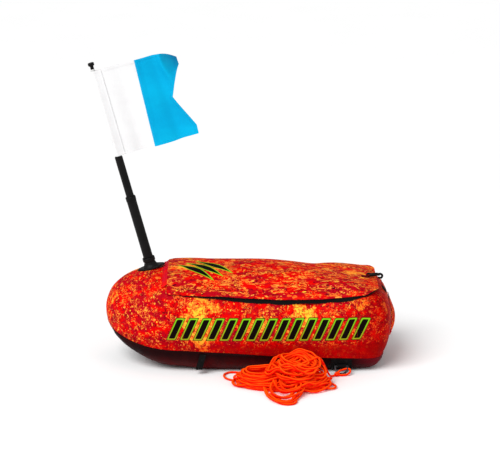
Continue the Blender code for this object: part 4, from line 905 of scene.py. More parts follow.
def liner_material():
    n = Nodes("black_liner")
    p = n.coords()
    f = n.noise(p, 40.0, 3, .6)
    X = n.xyz(p)
    w = n.math("MULTIPLY", n.math("SINE", n.math("MULTIPLY", X[0], 2 * math.pi / .0011)), n.math("SINE", n.math("MULTIPLY", X[1], 2 * math.pi / .0011)))
    return n.out(Base_Color=n.mix(n.ramp(f, .3, .7), (0.006, 0.005, 0.005), (0.014, 0.013, 0.013)), Roughness=.62,
                 Normal=n.bump(w, .25, .0003, n.bump(f, .25, .002)), Specular_IOR_Level=.10)


LINER_MAT = liner_material()


def webbing_material(name="webbing", pitch=.0016, dark=(0.0025, 0.0022, 0.0022), light=(0.0085, 0.0078, 0.0078)):
    n = Nodes(name)
    p = n.coords()
    X = n.xyz(p)
    a = n.math("SINE", n.math("MULTIPLY", n.math("ADD", X[0], X[2]), 2 * math.pi / pitch))
    b = n.math("SINE", n.math("MULTIPLY", n.math("ADD", X[1], n.math("MULTIPLY", X[2], -1.0)), 2 * math.pi / pitch))
    w = n.math("MULTIPLY", a, b)
    f = n.noise(p, 110.0, 3, .6)
    col = n.mix(n.ramp(w, -.6, .8), dark, light)
    return n.out(Base_Color=n.mix(n.ramp(f, .55, .8), col, tuple(v * 1.6 for v in light)), Roughness=.82, Normal=n.bump(w, .45, .0005), Specular_IOR_Level=.06)


WEBBING = webbing_material()


def lid():
    nx, ns = 190, 73
    xs = np.linspace(LID_X0, LID_X1, nx)
    u = np.linspace(-1, 1, ns)
    ss = np.sign(u) * (1 - (1 - np.abs(u)) ** 1.25)       # finer towards the edges
    T = np.zeros((nx, ns, 3))
    for i, x in enumerate(xs):
        hw = lid_half(x)
        for j, s in enumerate(ss):
            T[i, j] = (x, s * hw, lid_z(x, s * hw))
    x, y, z = T[..., 0], T[..., 1], T[..., 2]
    side = np.abs(y) / np.array([lid_half(v) for v in xs])[:, None]
    edge = (1 - side) * LID_HALF                            # distance from the free side edges
    rear = LID_X1 - x
    e = np.minimum(edge, rear)
    r = 0.0011 * wave(T * [1, 1, .6], 7.0, 21) * np.clip(e / .03, .25, 1)
    # long soft folds from the front seam and flutter along the free edges
    r += 0.0008 * np.sin(y * 2 * np.pi / .047 + 1.5 * np.sin(x * 9.0)) * near(x - LID_X0, .050)
    r += 0.0011 * np.sin(x * 2 * np.pi / .118 + 1.2 * np.sin(x * 17.0)) * near(edge, .022) * np.clip((x + .17) / .05, 0, 1)
    r += 0.0006 * np.sin(x * 2 * np.pi / .043 + 2.0 * np.sin(x * 29.0)) * near(edge, .012)
    # a slack crease across the lid ahead of the closure, and two drawn towards it
    r -= 0.0012 * near(x - .235 - .25 * np.abs(y), .010) * np.clip(1 - np.abs(y) / .10, 0, 1)
    r += 0.0007 * near(x - .252 - .25 * np.abs(y), .009) * np.clip(1 - np.abs(y) / .10, 0, 1)
    # hem: folded edge 11 mm wide with a stitched valley
    r += 0.00045 * (1 / (1 + np.exp((e - .0108) / .0006)))
    r -= 0.00050 * near(e - .0118, .0011)
    r -= 0.00035 * near(e - .0042, .0008)
    r += 0.00016 * np.sin(np.where(edge < rear, x, y) * 2 * np.pi / .0046) * near(e - .0075, .0035)
    # the front edge is sewn down flat
    f = np.clip((x - LID_X0) / .014, 0, 1)
    r *= f * f * (3 - 2 * f)
    r -= 0.0006 * near(x - LID_X0 - .0035, .0014)
    N = grid_normals(T, closed=False)
    N = np.where(N[..., 2:3] < 0, -N, N)
    top = T + N * r[..., None]
    # thickness: padded in the middle, thin at the hem, rounded over at the edge
    th = 0.0021 + 0.0008 * np.clip((e - .012) / .012, 0, 1)
    bot = top - N * th[..., None]
    ob = closed_sheet("lid_cloth", top, bot)
    n_f = len(ob.data.polygons)
    give(ob, LID_PRINT, LINER_MAT)
    nz = np.zeros(n_f * 3)
    ob.data.polygons.foreach_get("normal", nz)
    idx = (nz.reshape(-1, 3)[:, 2] < -.30).astype(np.int32)
    ob.data.polygons.foreach_set("material_index", idx)
    on_lid(ob)
    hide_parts("lid_panel")
    # rolled hem along the free edges
    hem = [top[i, 0] * .5 + bot[i, 0] * .5 for i in range(1, nx)]
    hem += [top[-1, j] * .5 + bot[-1, j] * .5 for j in range(1, ns - 1)]
    hem += [top[i, -1] * .5 + bot[i, -1] * .5 for i in range(nx - 1, 0, -1)]
    hem = spaced(np.array(hem), .0022)
    hob = tube_mesh("lid_hem", hem, .00125, sides=12)
    give(hob, LID_PRINT)
    on_lid(hob)
    # two rows of stitches in the hem
    for k, dd in enumerate((.0042, .0118)):
        def line(jside):
            out, nn = [], []
            for i in range(2, nx):
                hwid = lid_half(xs[i])
                if LID_X1 - xs[i] < dd:
                    break
                s = (1 - dd / LID_HALF) * jside
                jj = np.interp(s, ss, np.arange(ns))
                a = int(jj)
                f_ = jj - a
                out.append(top[i, a] * (1 - f_) + top[i, min(a + 1, ns - 1)] * f_)
                nn.append(N[i, a])
            return out, nn
        lo, ln = line(-1)
        hi, hn = line(1)
        ii = np.interp(LID_X1 - dd, xs, np.arange(nx))
        a = int(ii)
        f_ = ii - a
        keep = [j for j in range(ns) if abs(ss[j]) < 1 - dd / LID_HALF - .01]
        mid = [top[a, j] * (1 - f_) + top[min(a + 1, nx - 1), j] * f_ for j in keep]
        mn = [N[a, j] for j in keep]
        st = stitches("lid_hem_stitches_%d" % (k + 1), lo + mid + hi[::-1], ln + mn + hn[::-1])
        on_lid(st)
    # the front seam's two rows
    for k, dx in enumerate((.0035, .0075)):
        ii = np.interp(LID_X0 + dx, xs, np.arange(nx))
        a = int(ii)
        st = stitches("lid_front_stitches_%d" % (k + 1), [top[a, j] for j in range(4, ns - 4)], [N[a, j] for j in range(4, ns - 4)])
        on_lid(st)
    return top, bot


def spaced(p, step):
    s = np.concatenate([[0], np.cumsum(np.linalg.norm(np.diff(p, axis=0), axis=1))])
    n = max(int(round(s[-1] / step)), 2)
    u = np.linspace(0, s[-1], n + 1)
    return np.stack([np.interp(u, s, p[:, k]) for k in range(3)], 1)


LID_TOPS, LID_BOTS = lid()


def lid_skirt():
    """Black inner edge tape that hangs below the lid's hem, close to the hull; how far it hangs is painted shade, a
    dark band standing in for the shadow under the lid's overhang.
    """
    nx = LID_TOPS.shape[0]
    xs = LID_TOPS[:, 0, 0]
    rows = 9
    for side, jj in (("port", 0), ("starboard", -1)):
        sg = -1 if side == "port" else 1
        out, inn = [], []
        for i in range(2, nx - 3):
            x = xs[i]
            p = LID_BOTS[i, jj]
            # painted shade: the tape hangs as deep as the shadow under the lid's edge, deepest mid-length
            shade_depth = table(x, [-.198, -.165, -.10, -.02, .10, .20, .26, .307], [.0006, .0024, .0062, .0108, .0120, .0100, .0072, .0034])
            shade_depth *= 1 + .06 * math.sin(x * 2 * math.pi / .071)
            ro, ri = [], []
            for j in range(rows):
                f = j / (rows - 1)
                z = p[2] + .0006 - shade_depth * f
                yy = abs(p[1]) - .0006 - .0010 * math.sin(math.pi * min(f * 1.2, 1))
                if x < STERN_POLE:
                    yy = max(yy, hull_y(x, z) + .0016)
                ro.append((x, sg * (yy + .00055), z))
                ri.append((x, sg * (yy - .00055), z))
            out.append(ro)
            inn.append(ri)
        ob = closed_sheet("lid_skirt_" + side, np.array(out), np.array(inn))
        give(ob, WEBBING)
        on_lid(ob)
        if side == "port":
            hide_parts("lid_binding")
    # the rear edge's tape
    js = range(3, LID_TOPS.shape[1] - 3)
    out = np.array([[(LID_BOTS[-1, j, 0] - .0004 - k * .0002, LID_BOTS[-1, j, 1], LID_BOTS[-1, j, 2] + .0006 - .0044 * k / 4) for k in range(5)] for j in js])
    inn = out - [.0011, 0, 0]
    ob = closed_sheet("lid_skirt_rear", out, inn)
    give(ob, WEBBING)
    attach(ob, "lid")


lid_skirt()


def seam_tape():
    """Flat tape over the lid's sewn front edge, with a stitch row on each side."""
    ny, nx = 110, 9
    ys = np.linspace(-.098, .098, ny)
    G = np.zeros((ny, nx, 3))
    for i, y in enumerate(ys):
        for j in range(nx):
            x = LID_X0 - .0125 + (.0125 - .0004) * j / (nx - 1)
            f = j / (nx - 1)
            z = nose_z(x, y) + .0016 + .0009 * math.sin(math.pi * min(max(f, .04), .96)) ** .35
            # follow the lid's front edge at the tape's own rear
            z = z * (1 - f ** 3) + (lid_z(LID_X0, y) + .0002) * f ** 3
            z += .00025 * math.sin(y * 2 * math.pi / .0135 + 2 * math.sin(y * 60)) * math.sin(math.pi * f)
            G[i, j] = (x, y, z)
    N = grid_normals(G, closed=False)
    N = np.where(N[..., 2:3] < 0, -N, N)
    low = G - N * .0012
    ob = closed_sheet("front_seam_tape", G, low)
    n = Nodes("crimson_tape")
    p = n.coords()
    f = n.noise(p, 70.0, 3)
    w = n.math("SINE", n.math("MULTIPLY", n.xyz(p)[1], 2 * math.pi / .0013))
    c = n.mix(n.ramp(f, .35, .65), (0.52, 0.001, 0.020), (0.70, 0.002, 0.003))
    give(ob, n.out(Base_Color=c, Roughness=.6, Normal=n.bump(w, .35, .0003), Specular_IOR_Level=.08))
    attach(ob, "hull")
    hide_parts("lid_seam_tape")
    for k, j in enumerate((1, nx - 3)):
        st = stitches("tape_stitches_%d" % (k + 1), G[3:-3, j], N[3:-3, j])
        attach(st, "hull")


seam_tape()


# ------------------------------------------------------------------ the pocket
POCKET_FLOOR, POCKET_X0, POCKET_X1, POCKET_R = 0.150, -0.1630, 0.2600, 0.55


def liner():
    """Fabric lining of the cargo pocket: walls with soft vertical folds."""
    x0, x1, cut = POCKET_X0, POCKET_X1, .010
    half = lambda x: POCKET_R * half_width(min(max(x, NOSE_POLE), STERN_POLE)) - .0012
    xs = np.linspace(x0 + cut, x1 - cut, 61)
    side = [(x, -half(x)) for x in xs]
    hf, hr = half(x0), half(x1)
    rear = [(x1 - .0029, -hr + .0029), (x1, -hr + cut)] + [(x1, v) for v in np.linspace(-hr + cut, hr - cut, 15)[1:-1]] + [(x1, hr - cut), (x1 - .0029, hr - .0029)]
    front = [(x0 + .0029, hf - .0029), (x0, hf - cut)] + [(x0, v) for v in np.linspace(hf - cut, -hf + cut, 15)[1:-1]] + [(x0, -hf + cut), (x0 + .0029, -hf + .0029)]
    loop = np.array(side + rear + [(x, -y) for x, y in side[::-1]] + front)
    n = len(loop)
    tan = np.roll(loop, -1, 0) - np.roll(loop, 1, 0)
    tan /= np.linalg.norm(tan, axis=1, keepdims=True)
    inw = np.stack([-tan[:, 1], tan[:, 0]], 1)
    c = loop.mean(0)
    if ((c - loop) * inw).sum() < 0:
        inw = -inw
    s = np.concatenate([[0], np.cumsum(np.linalg.norm(np.diff(loop, axis=0), axis=1))])
    col = {}

    def deck(x, y):
        k = round(x, 5)
        if k not in col:
            col[k] = finer(mid_column(min(max(x, NOSE_POLE), STERN_POLE), 1)[0], PER)[::-1]
        m = col[k]
        return float(np.interp(abs(y), m[:4 * PER, 1], m[:4 * PER, 2]))
    rows = 16
    G = np.zeros((n, rows + 8, 3))
    lip = np.array([deck(x, y) - .0024 for x, y in loop])
    for j in range(rows):
        f = j / (rows - 1)
        z = lip + (POCKET_FLOOR + .0019 - lip) * f
        fold = .0011 * np.sin(s * 2 * np.pi / .026 + 1.6 * np.sin(s * 2 * np.pi / .11) + f * 1.2) * np.sin(np.pi * f) ** .6 + .0008 * np.sin(np.pi * f)
        d = .0006 + np.maximum(fold, -.0001)
        G[:, j, :2] = loop + inw * d[:, None]
        G[:, j, 2] = z
    for j in range(8):
        f = (j + 1) / 8
        k = 1 - f
        q = c + (loop + inw * .0012 - c) * k
        G[:, rows + j, :2] = q
        G[:, rows + j, 2] = POCKET_FLOOR + .0017 + .0006 * np.abs(np.sin(q[:, 0] * 90) * np.cos(q[:, 1] * 70)) * (k < .95)
    N = np.zeros_like(G)
    N[:, :rows, :2] = inw[:, None]
    N[:, rows - 1:, :] = (0, 0, 1)
    out = G - N * .0006
    ob = closed_sheet("pocket_lining", G, out, closed_cols=True)
    give(ob, LINER_MAT)
    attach(ob, "hull")
    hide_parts("pocket_liner")


liner()

# ------------------------------------------------------------- flag and mast
LEAN = math.radians(15.2)
AXIS = np.array([-math.sin(LEAN), 0.0, math.cos(LEAN)])
AFT = np.array([math.cos(LEAN), 0.0, math.sin(LEAN)])
SIDEWAYS = np.array([0.0, -1.0, 0.0])                    # towards the near side
MAST_BASE = np.array([-.240, 0.0, .2268])
HOIST0, HOIST1, FLY, SPLIT, NOTCH = .2875, .5005, .214, .107, .038


def plastic_material(name, dark, light, rough=.42, grain=900.0):
    n = Nodes(name)
    p = n.coords()
    f = n.noise(p, grain, 3, .6)
    g = n.noise(p, 30.0, 4, .6)
    return n.out(Base_Color=n.mix(n.ramp(g, .35, .75), dark, light), Roughness=n.math("ADD", n.math("MULTIPLY", g, .22), rough - .08),
                 Normal=n.bump(f, .22, .0004), Specular_IOR_Level=.12)


BLACK_PLASTIC = plastic_material("black_plastic", (0.0022, 0.0020, 0.0020), (0.0060, 0.0054, 0.0054))
ROD_MAT = plastic_material("pale_rod", (0.55, 0.55, 0.54), (0.66, 0.66, 0.65), .35, 400.0)


def steel_material():
    n = Nodes("dark_steel")
    p = n.coords()
    f = n.noise(p, 160.0, 4, .65)
    return n.out(Base_Color=n.mix(n.ramp(f, .3, .7), (0.030, 0.030, 0.032), (0.075, 0.075, 0.080)), Metallic=.9, Roughness=n.math("ADD", n.math("MULTIPLY", f, .25), .28),
                 Normal=n.bump(f, .12, .0004))


STEEL = steel_material()


def flag_cloth(name, colour, deep, light, fold=False):
    """Light nylon: fine plain weave, faint puckers."""
    n = Nodes(name)
    p = n.coords()
    X = n.xyz(p)
    w = n.math("MULTIPLY", n.math("SINE", n.math("MULTIPLY", X[0], 2 * math.pi / .0011)), n.math("SINE", n.math("MULTIPLY", X[2], 2 * math.pi / .0011)))
    f = n.noise(n.vec(n.math("MULTIPLY", X[0], 6.0), X[1], n.math("MULTIPLY", X[2], 14.0)), 1.0, 4, .55)
    g = n.noise(p, 260.0, 2, .5)
    col = n.mix(n.ramp(f, .30, .72), deep, light)
    col = n.mix(n.math("MULTIPLY", n.ramp(g, .5, .9), .25), col, colour)
    if fold:
        # painted shade: the upper corner's fold is darkened in the cloth's colour, where the corner turns down and away
        # from the light
        ca, sa = math.cos(LEAN), math.sin(LEAN)
        mx, mz = n.math("SUBTRACT", X[0], MAST_BASE[0]), n.math("SUBTRACT", X[2], MAST_BASE[2])
        a = n.math("ADD", n.math("MULTIPLY", mx, ca), n.math("MULTIPLY", mz, sa))
        h = n.math("SUBTRACT", n.math("MULTIPLY", mz, ca), n.math("MULTIPLY", mx, sa))
        k = n.math("MULTIPLY", n.ramp(a, .168, .196), n.ramp(n.math("ADD", h, n.math("MULTIPLY", a, .55)), HOIST1 + .040, HOIST1 + .088))
        col = n.mix(n.math("MULTIPLY", k, .95), col, n.mix(1.0, col, (0.45, 0.44, 0.62), "MULTIPLY"))
    return n.out(Base_Color=col, Roughness=.58, Normal=n.bump(w, .18, .0002, n.bump(f, .20, .004)), Specular_IOR_Level=.04)


WHITE_CLOTH = flag_cloth("white_cloth", (0.78, 0.78, 0.785), (0.725, 0.725, 0.73), (0.775, 0.775, 0.78))
# fold=True paints shade into the blue half's upper corner
BLUE_CLOTH = flag_cloth("blue_cloth", (0.0006, 0.38, 0.66), (0.0004, 0.33, 0.60), (0.0010, 0.42, 0.70), fold=True)


def fly_edge(h):
    mid = (HOIST0 + HOIST1) / 2
    return float(np.interp(h, [HOIST0, HOIST0 + .022, mid, HOIST1 - .022, HOIST1], [FLY, FLY, FLY - NOTCH, FLY, FLY]))


def smooth01(t):
    t = np.clip(t, 0, 1)
    return t * t * (3 - 2 * t)


def flag_point(a, h):
    """A point of the hanging flag from its place on the flat cloth."""
    v = (h - HOIST0) / (HOIST1 - HOIST0)
    free = smooth01((a - .012) / .06)
    # the cloth's own folds take up a little of its length, most at the bottom
    short = (.0016 + .0088 * (1 - v)) * smooth01(a / SPLIT) + (.0030 + .0070 * v * v) * smooth01((a - SPLIT) / .085)
    y = (.0022 + .0040 * (1 - v)) * math.sin(a * 2 * math.pi / .100 + 1.2 * v + .3) * free
    y += .0014 * math.sin(a * 2 * math.pi / .046 + 3.0 * v) * free * smooth01((a - .08) / .1)
    y += .0026 * math.sin((a - .107) * 30.0 + v * 2.2) * smooth01((a - .10) / .10)
    y += .0010 * math.sin(v * 2 * math.pi * 2.4 + a * 40) * smooth01((a - .03) / .12)
    # ridge from the top edge down to the fly edge above the notch
    c = a - (.170 + .020 * smooth01((HOIST1 - h) / .10))
    y += .0075 * math.exp(-(c / .012) ** 2) * smooth01((v - .50) / .30)
    p = MAST_BASE + AXIS * h + AFT * (a - short) + SIDEWAYS * y
    # beyond the ridge the upper corner hangs over, turned down and away
    t = max(a - .1700, 0) / .044
    t = t ** 1.45 if t < 1 else 1 + (t - 1) * 1.45
    s = smooth01((h - (HOIST1 - .080)) / .080)
    k = t * s
    p = p + np.array([-.0010, .0600, -.0290]) * k
    # lower fly edge a touch lower at the notch, higher at the tail
    p = p + np.array([0, 0, -.0030]) * smooth01((a - .12) / .06) * math.exp(-((v - .5) / .16) ** 2)
    p = p + np.array([0, 0, .0040]) * smooth01((a - .15) / .06) * smooth01((.35 - v) / .35)
    return p


def flag():
    # white half: from the seam with the blue cloth to the sleeve round the rod
    R, T = .0056, .0007
    nh = 120
    hs = np.linspace(HOIST0, HOIST1, nh)
    flat = list(np.linspace(SPLIT + .0045, .0140, 64))
    ang = np.linspace(-math.radians(66), -math.radians(360 - 66), 26)
    prof = [("f", a, 0.0) for a in flat] + [("s", R * math.cos(t), R * math.sin(t)) for t in ang]
    prof += [("f", a, .0011) for a in np.linspace(.0145, .0185, 4)]
    mid = np.zeros((len(prof), nh, 3))
    for i, (kind, u, w) in enumerate(prof):
        for j, h in enumerate(hs):
            if kind == "f":
                q = flag_point(u, h)
                blend = 0 if w else smooth01((.024 - u) / .010)
                q = q + SIDEWAYS * (w - .0000 * blend)
                mid[i, j] = q
            else:
                mid[i, j] = MAST_BASE + AXIS * h + AFT * u + SIDEWAYS * (w + .00045)
    # round the profile off where the cloth meets the sleeve
    for _ in range(6):
        lo, hi = len(flat) - 7, len(flat) + 3
        mid[lo:hi] += .5 * (.5 * (mid[lo - 1:hi - 1] + mid[lo + 1:hi + 1]) - mid[lo:hi])
    # small gathers along the sleeve's stitching and the hems top and bottom
    N = grid_normals(mid, closed=False)
    dist = np.minimum(hs - HOIST0, HOIST1 - hs)[None, :]
    hem = .00030 / (1 + np.exp((dist - .0062) / .0004)) - .00025 * near(dist - .0066, .0007)
    a_of = np.array([u if k == "f" else 0 for k, u, w in prof])[:, None]
    seam = .00035 * near(a_of - (SPLIT - .0005), .0034) - .0003 * near(a_of - .0205, .0007)
    half = T / 2 + np.maximum(hem + seam, -.00025)
    white = closed_sheet("flag_white_half", mid + N * half[..., None], mid - N * half[..., None])
    give(white, WHITE_CLOTH)
    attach(white, "flag")
    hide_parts("flag_hoist_half")
    near_side = N if (N[10, 10] @ SIDEWAYS) > 0 else -N
    rows = []
    for k, aa in enumerate((.0125, .0205)):
        i = int(np.argmin(np.abs(np.array(flat) - aa)))
        st = stitches("sleeve_stitches_%d" % (k + 1), mid[i, 2:-2], near_side[i, 2:-2], length=.0026, r=.00026, lift=.0006, mat=PALE_THREAD)
        rows.append(st)
    for k, j in enumerate((4, nh - 5)):
        st = stitches("white_hem_stitches_%d" % (k + 1), mid[1:58, j], near_side[1:58, j], length=.0026, r=.00026, lift=.0005, mat=PALE_THREAD)
        rows.append(st)
    i = 2
    st = stitches("seam_stitches_white", mid[i, 2:-2], near_side[i, 2:-2], length=.0026, r=.00026, lift=.0008, mat=PALE_THREAD)
    rows.append(st)
    for st in rows:
        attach(st, "flag")
    # blue half: swallow-tailed
    nu = 92
    nh2 = 150
    hs2 = np.unique(np.concatenate([np.linspace(HOIST0, HOIST1, nh2), [HOIST0 + .022, (HOIST0 + HOIST1) / 2, HOIST1 - .022]]))
    us = np.linspace(0, 1, nu)
    us = np.where(us < .93, us, us)
    mid = np.zeros((nu, len(hs2), 3))
    flatc = np.zeros((nu, len(hs2), 2))
    for j, h in enumerate(hs2):
        e = fly_edge(h)
        for i, u in enumerate(us):
            a = SPLIT - .0045 + (e - SPLIT + .0045) * u
            flatc[i, j] = (a, h)
            mid[i, j] = flag_point(a, h) + SIDEWAYS * (.0011 * smooth01((SPLIT + .010 - a) / .006))
    N = grid_normals(mid, closed=False)
    if N[10, 10] @ SIDEWAYS < 0:
        N = -N
    e = np.array([fly_edge(h) for h in hs2])[None, :]
    slope = np.abs(np.gradient(e[0], hs2))[None, :]
    d_fly = (e - flatc[..., 0]) / np.sqrt(1 + slope ** 2)
    d = np.minimum(np.minimum(hs2 - HOIST0, HOIST1 - hs2)[None, :], d_fly)
    hem = .00034 / (1 + np.exp((d - .0062) / .0004)) - .00028 * near(d - .0066, .0007)
    seam = .00040 * near(flatc[..., 0] - SPLIT, .0032) - .0003 * near(flatc[..., 0] - (SPLIT + .0042), .0006)
    half = T / 2 + np.maximum(hem + seam, -.00025)
    blue = closed_sheet("flag_blue_half", mid + N * half[..., None], mid - N * half[..., None])
    give(blue, BLUE_CLOTH)
    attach(blue, "flag")
    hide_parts("flag_fly_half")
    rows = []
    n2 = len(hs2)
    for k, i in enumerate((3, 6)):
        st = stitches("seam_stitches_blue_%d" % (k + 1), mid[i, 2:-2], N[i, 2:-2], length=.0026, r=.00026, lift=.0007, mat=BLUE_THREAD)
        rows.append(st)
    jt, jb = int(np.argmin(np.abs(hs2 - (HOIST1 - .0060)))), int(np.argmin(np.abs(hs2 - (HOIST0 + .0060))))
    fly, fn = [], []
    for j in range(jb, jt + 1):
        a = e[0, j] - .0060 * math.sqrt(1 + slope[0, j] ** 2)
        u = (a - SPLIT + .0045) / (e[0, j] - SPLIT + .0045) * (nu - 1)
        i0 = int(u)
        f = u - i0
        fly.append(mid[i0, j] * (1 - f) + mid[min(i0 + 1, nu - 1), j] * f)
        fn.append(N[i0, j])
    top = [(mid[i, jt], N[i, jt]) for i in range(8, nu - 6)]
    bot = [(mid[i, jb], N[i, jb]) for i in range(8, nu - 6)]
    line = [p for p, _ in bot] + fly + [p for p, _ in top[::-1]]
    nn = [q for _, q in bot] + fn + [q for _, q in top[::-1]]
    st = stitches("blue_hem_stitches", line, nn, length=.0026, r=.00026, lift=.0006, mat=BLUE_THREAD)
    rows.append(st)
    for st in rows:
        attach(st, "flag")
    area = float(np.trapezoid(e[0] - SPLIT + .0045, hs2)) if hasattr(np, "trapezoid") else float(np.trapz(e[0] - SPLIT + .0045, hs2))


def cloth_thread(name, a, b):
    n = Nodes(name)
    f = n.noise(n.coords(), 900.0, 2)
    return n.out(Base_Color=n.mix(n.ramp(f, .3, .7), a, b), Roughness=.6, Specular_IOR_Level=.3)


PALE_THREAD = cloth_thread("pale_thread", (0.66, 0.66, 0.66), (0.76, 0.76, 0.76))
BLUE_THREAD = cloth_thread("blue_thread", (0.001, 0.20, 0.48), (0.004, 0.32, 0.62))

flag()


def turned(name, profile, origin, axis, sides=64, smooth_sharp=32, mat=None):
    """Lathe piece: profile of (radius, height) along an axis from origin."""
    ax = np.asarray(axis, float)
    u = np.cross(ax, [0, 1.0, 0])
    u /= np.linalg.norm(u)
    v = np.cross(ax, u)
    prof = np.asarray(profile, float)
    th = np.linspace(0, 2 * np.pi, sides, endpoint=False)
    verts, faces, rows = [], [], []
    for r, h in prof:
        if r < 1e-7:
            rows.append([len(verts)])
            verts.append(np.asarray(origin) + ax * h)
        else:
            rows.append(list(range(len(verts), len(verts) + sides)))
            for t in th:
                verts.append(np.asarray(origin) + ax * h + (u * math.cos(t) + v * math.sin(t)) * r)
    closed = prof[0][0] > 1e-7
    pairs = list(zip(rows[:-1], rows[1:])) + ([(rows[-1], rows[0])] if closed else [])
    for a, b in pairs:
        for j in range(sides):
            l = (j + 1) % sides
            if len(a) == 1 and len(b) == 1:
                continue
            if len(a) == 1:
                faces.append((a[0], b[l], b[j]))
            elif len(b) == 1:
                faces.append((a[j], a[l], b[0]))
            else:
                faces.append((a[j], a[l], b[l], b[j]))
    ob = new_mesh(name, verts, faces)
    ob = outward(ob)
    if mat:
        give(ob, mat)
    return ob


def dress_nodes():
    """Materials for the CAD nodes that keep their own shape."""
    for name, mat in (("mast_base", BLACK_PLASTIC), ("mast_lock_ring", BLACK_PLASTIC), ("mast_lower_tube", BLACK_PLASTIC), ("mast_middle_tube", BLACK_PLASTIC),
                      ("mast_tip_cap", BLACK_PLASTIC), ("rod_plug", BLACK_PLASTIC), ("mast_top_rod", ROD_MAT), ("inflation_valve", BLACK_PLASTIC), ("valve_cap", BLACK_PLASTIC),
                      ("closure_hook", BLACK_PLASTIC), ("hook_tab", WEBBING), ("elastic_loop", WEBBING), ("loop_anchor", WEBBING), ("ring_tab_port", WEBBING), ("ring_tab_starboard", WEBBING),
                      ("ring_keeper_port", WEBBING), ("ring_keeper_starboard", WEBBING), ("webbing_loop_port", WEBBING), ("webbing_loop_starboard", WEBBING),
                      ("d_ring_port", STEEL), ("d_ring_starboard", STEEL), ("bladder", BELLY_MAT)):
        ob = node_object(name)
        give(ob, mat)


dress_nodes()


# -------------------------------------------------------------- the stern flap
def stern_at():
    """Where the stern cover's outside is, straight aft of a point."""
    me = bpy.data.objects["stern_panel"].data
    tree = BVHTree.FromPolygons([tuple(v.co) for v in me.vertices], [tuple(f.vertices) for f in me.polygons])

    def at(y, z):
        hit = tree.ray_cast((.5, y, z), (-1, 0, 0))[0]
        return hit.x if hit is not None else .335
    return at


def valve_flap():
    """Fabric flap that drapes over the stern valve and bulges where it covers it."""
    at = stern_at()
    z0, L = .1520, .0885
    nr, nw = 64, 65
    u = np.linspace(0, L, nr)
    w = np.linspace(-1, 1, nw)
    half = .040 * np.interp(u / L, [0, .17, .33, .5, .67, .84, 1], [1, 1, 1, .985, .96, .93, .89])
    G = np.zeros((nr, nw, 3))
    for i in range(nr):
        f = u[i] / L
        c = max(0.0, (f - .86) / .14)
        hw = half[i] * (1 - .16 * c ** 2.4)
        for j, q in enumerate(w):
            y, z = q * hw, z0 - u[i] - .0035 * (1 - abs(q) ** 2.2) * c
            base = at(y, z) + .0016
            valve = .0094 * math.exp(-((y / .0215) ** 2) ** 1.6) * math.exp(-(abs(z - .1030) / .0330) ** 2.6)
            loose = .0030 * smooth01((f - .45) / .5) + .0014 * math.sin(q * 7.0 + f * 5.0) * f * f
            x = base + valve + loose
            G[i, j] = (base + (x - base) * min(1.0, f / .10), y, z)
    for _ in range(10):
        G[1:-1, 1:-1, 0] += .5 * (.25 * (G[:-2, 1:-1, 0] + G[2:, 1:-1, 0] + G[1:-1, :-2, 0] + G[1:-1, 2:, 0]) - G[1:-1, 1:-1, 0])
    N = grid_normals(G, closed=False)
    if N[20, 30][0] < 0:
        N = -N
    d = np.minimum(np.minimum((1 - np.abs(w))[None, :] * half[:, None], (L - u)[:, None]), .02)
    half_t = .00080 + .0003 / (1 + np.exp((d - .0070) / .0004)) - .0003 * near(d - .0074, .0007)
    out, inn = G + N * half_t[..., None], G - N * .0008
    ob = closed_sheet("stern_flap_cloth", out, inn)
    give(ob, LID_PRINT, LINER_MAT)
    nz = np.zeros(len(ob.data.polygons) * 3)
    ob.data.polygons.foreach_get("normal", nz)
    ob.data.polygons.foreach_set("material_index", (nz.reshape(-1, 3)[:, 0] < -.3).astype(np.int32))
    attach(ob, "flap")
    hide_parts("valve_flap")
    loop = [(out[i, 4], N[i, 4]) for i in range(3, nr - 4)] + [(out[nr - 5, j], N[nr - 5, j]) for j in range(5, nw - 5)] + [(out[i, nw - 5], N[i, nw - 5]) for i in range(nr - 5, 3, -1)]
    st = stitches("flap_stitches", [a for a, _ in loop], [b for _, b in loop])
    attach(st, "flap")


def smooth_curve3(p, per):
    q = np.vstack([2 * p[0] - p[1], p, 2 * p[-1] - p[-2]])
    t = np.linspace(0, 1, per, endpoint=False)[:, None]
    a, b, c, d = q[:-3, None], q[1:-2, None], q[2:-1, None], q[3:, None]
    t = t[None]
    out = 0.5 * ((2 * b) + (-a + c) * t + (2 * a - 5 * b + 4 * c - d) * t ** 2 + (-a + 3 * b - 3 * c + d) * t ** 3)
    return np.vstack([out.reshape(-1, 3), p[-1:]])


valve_flap()


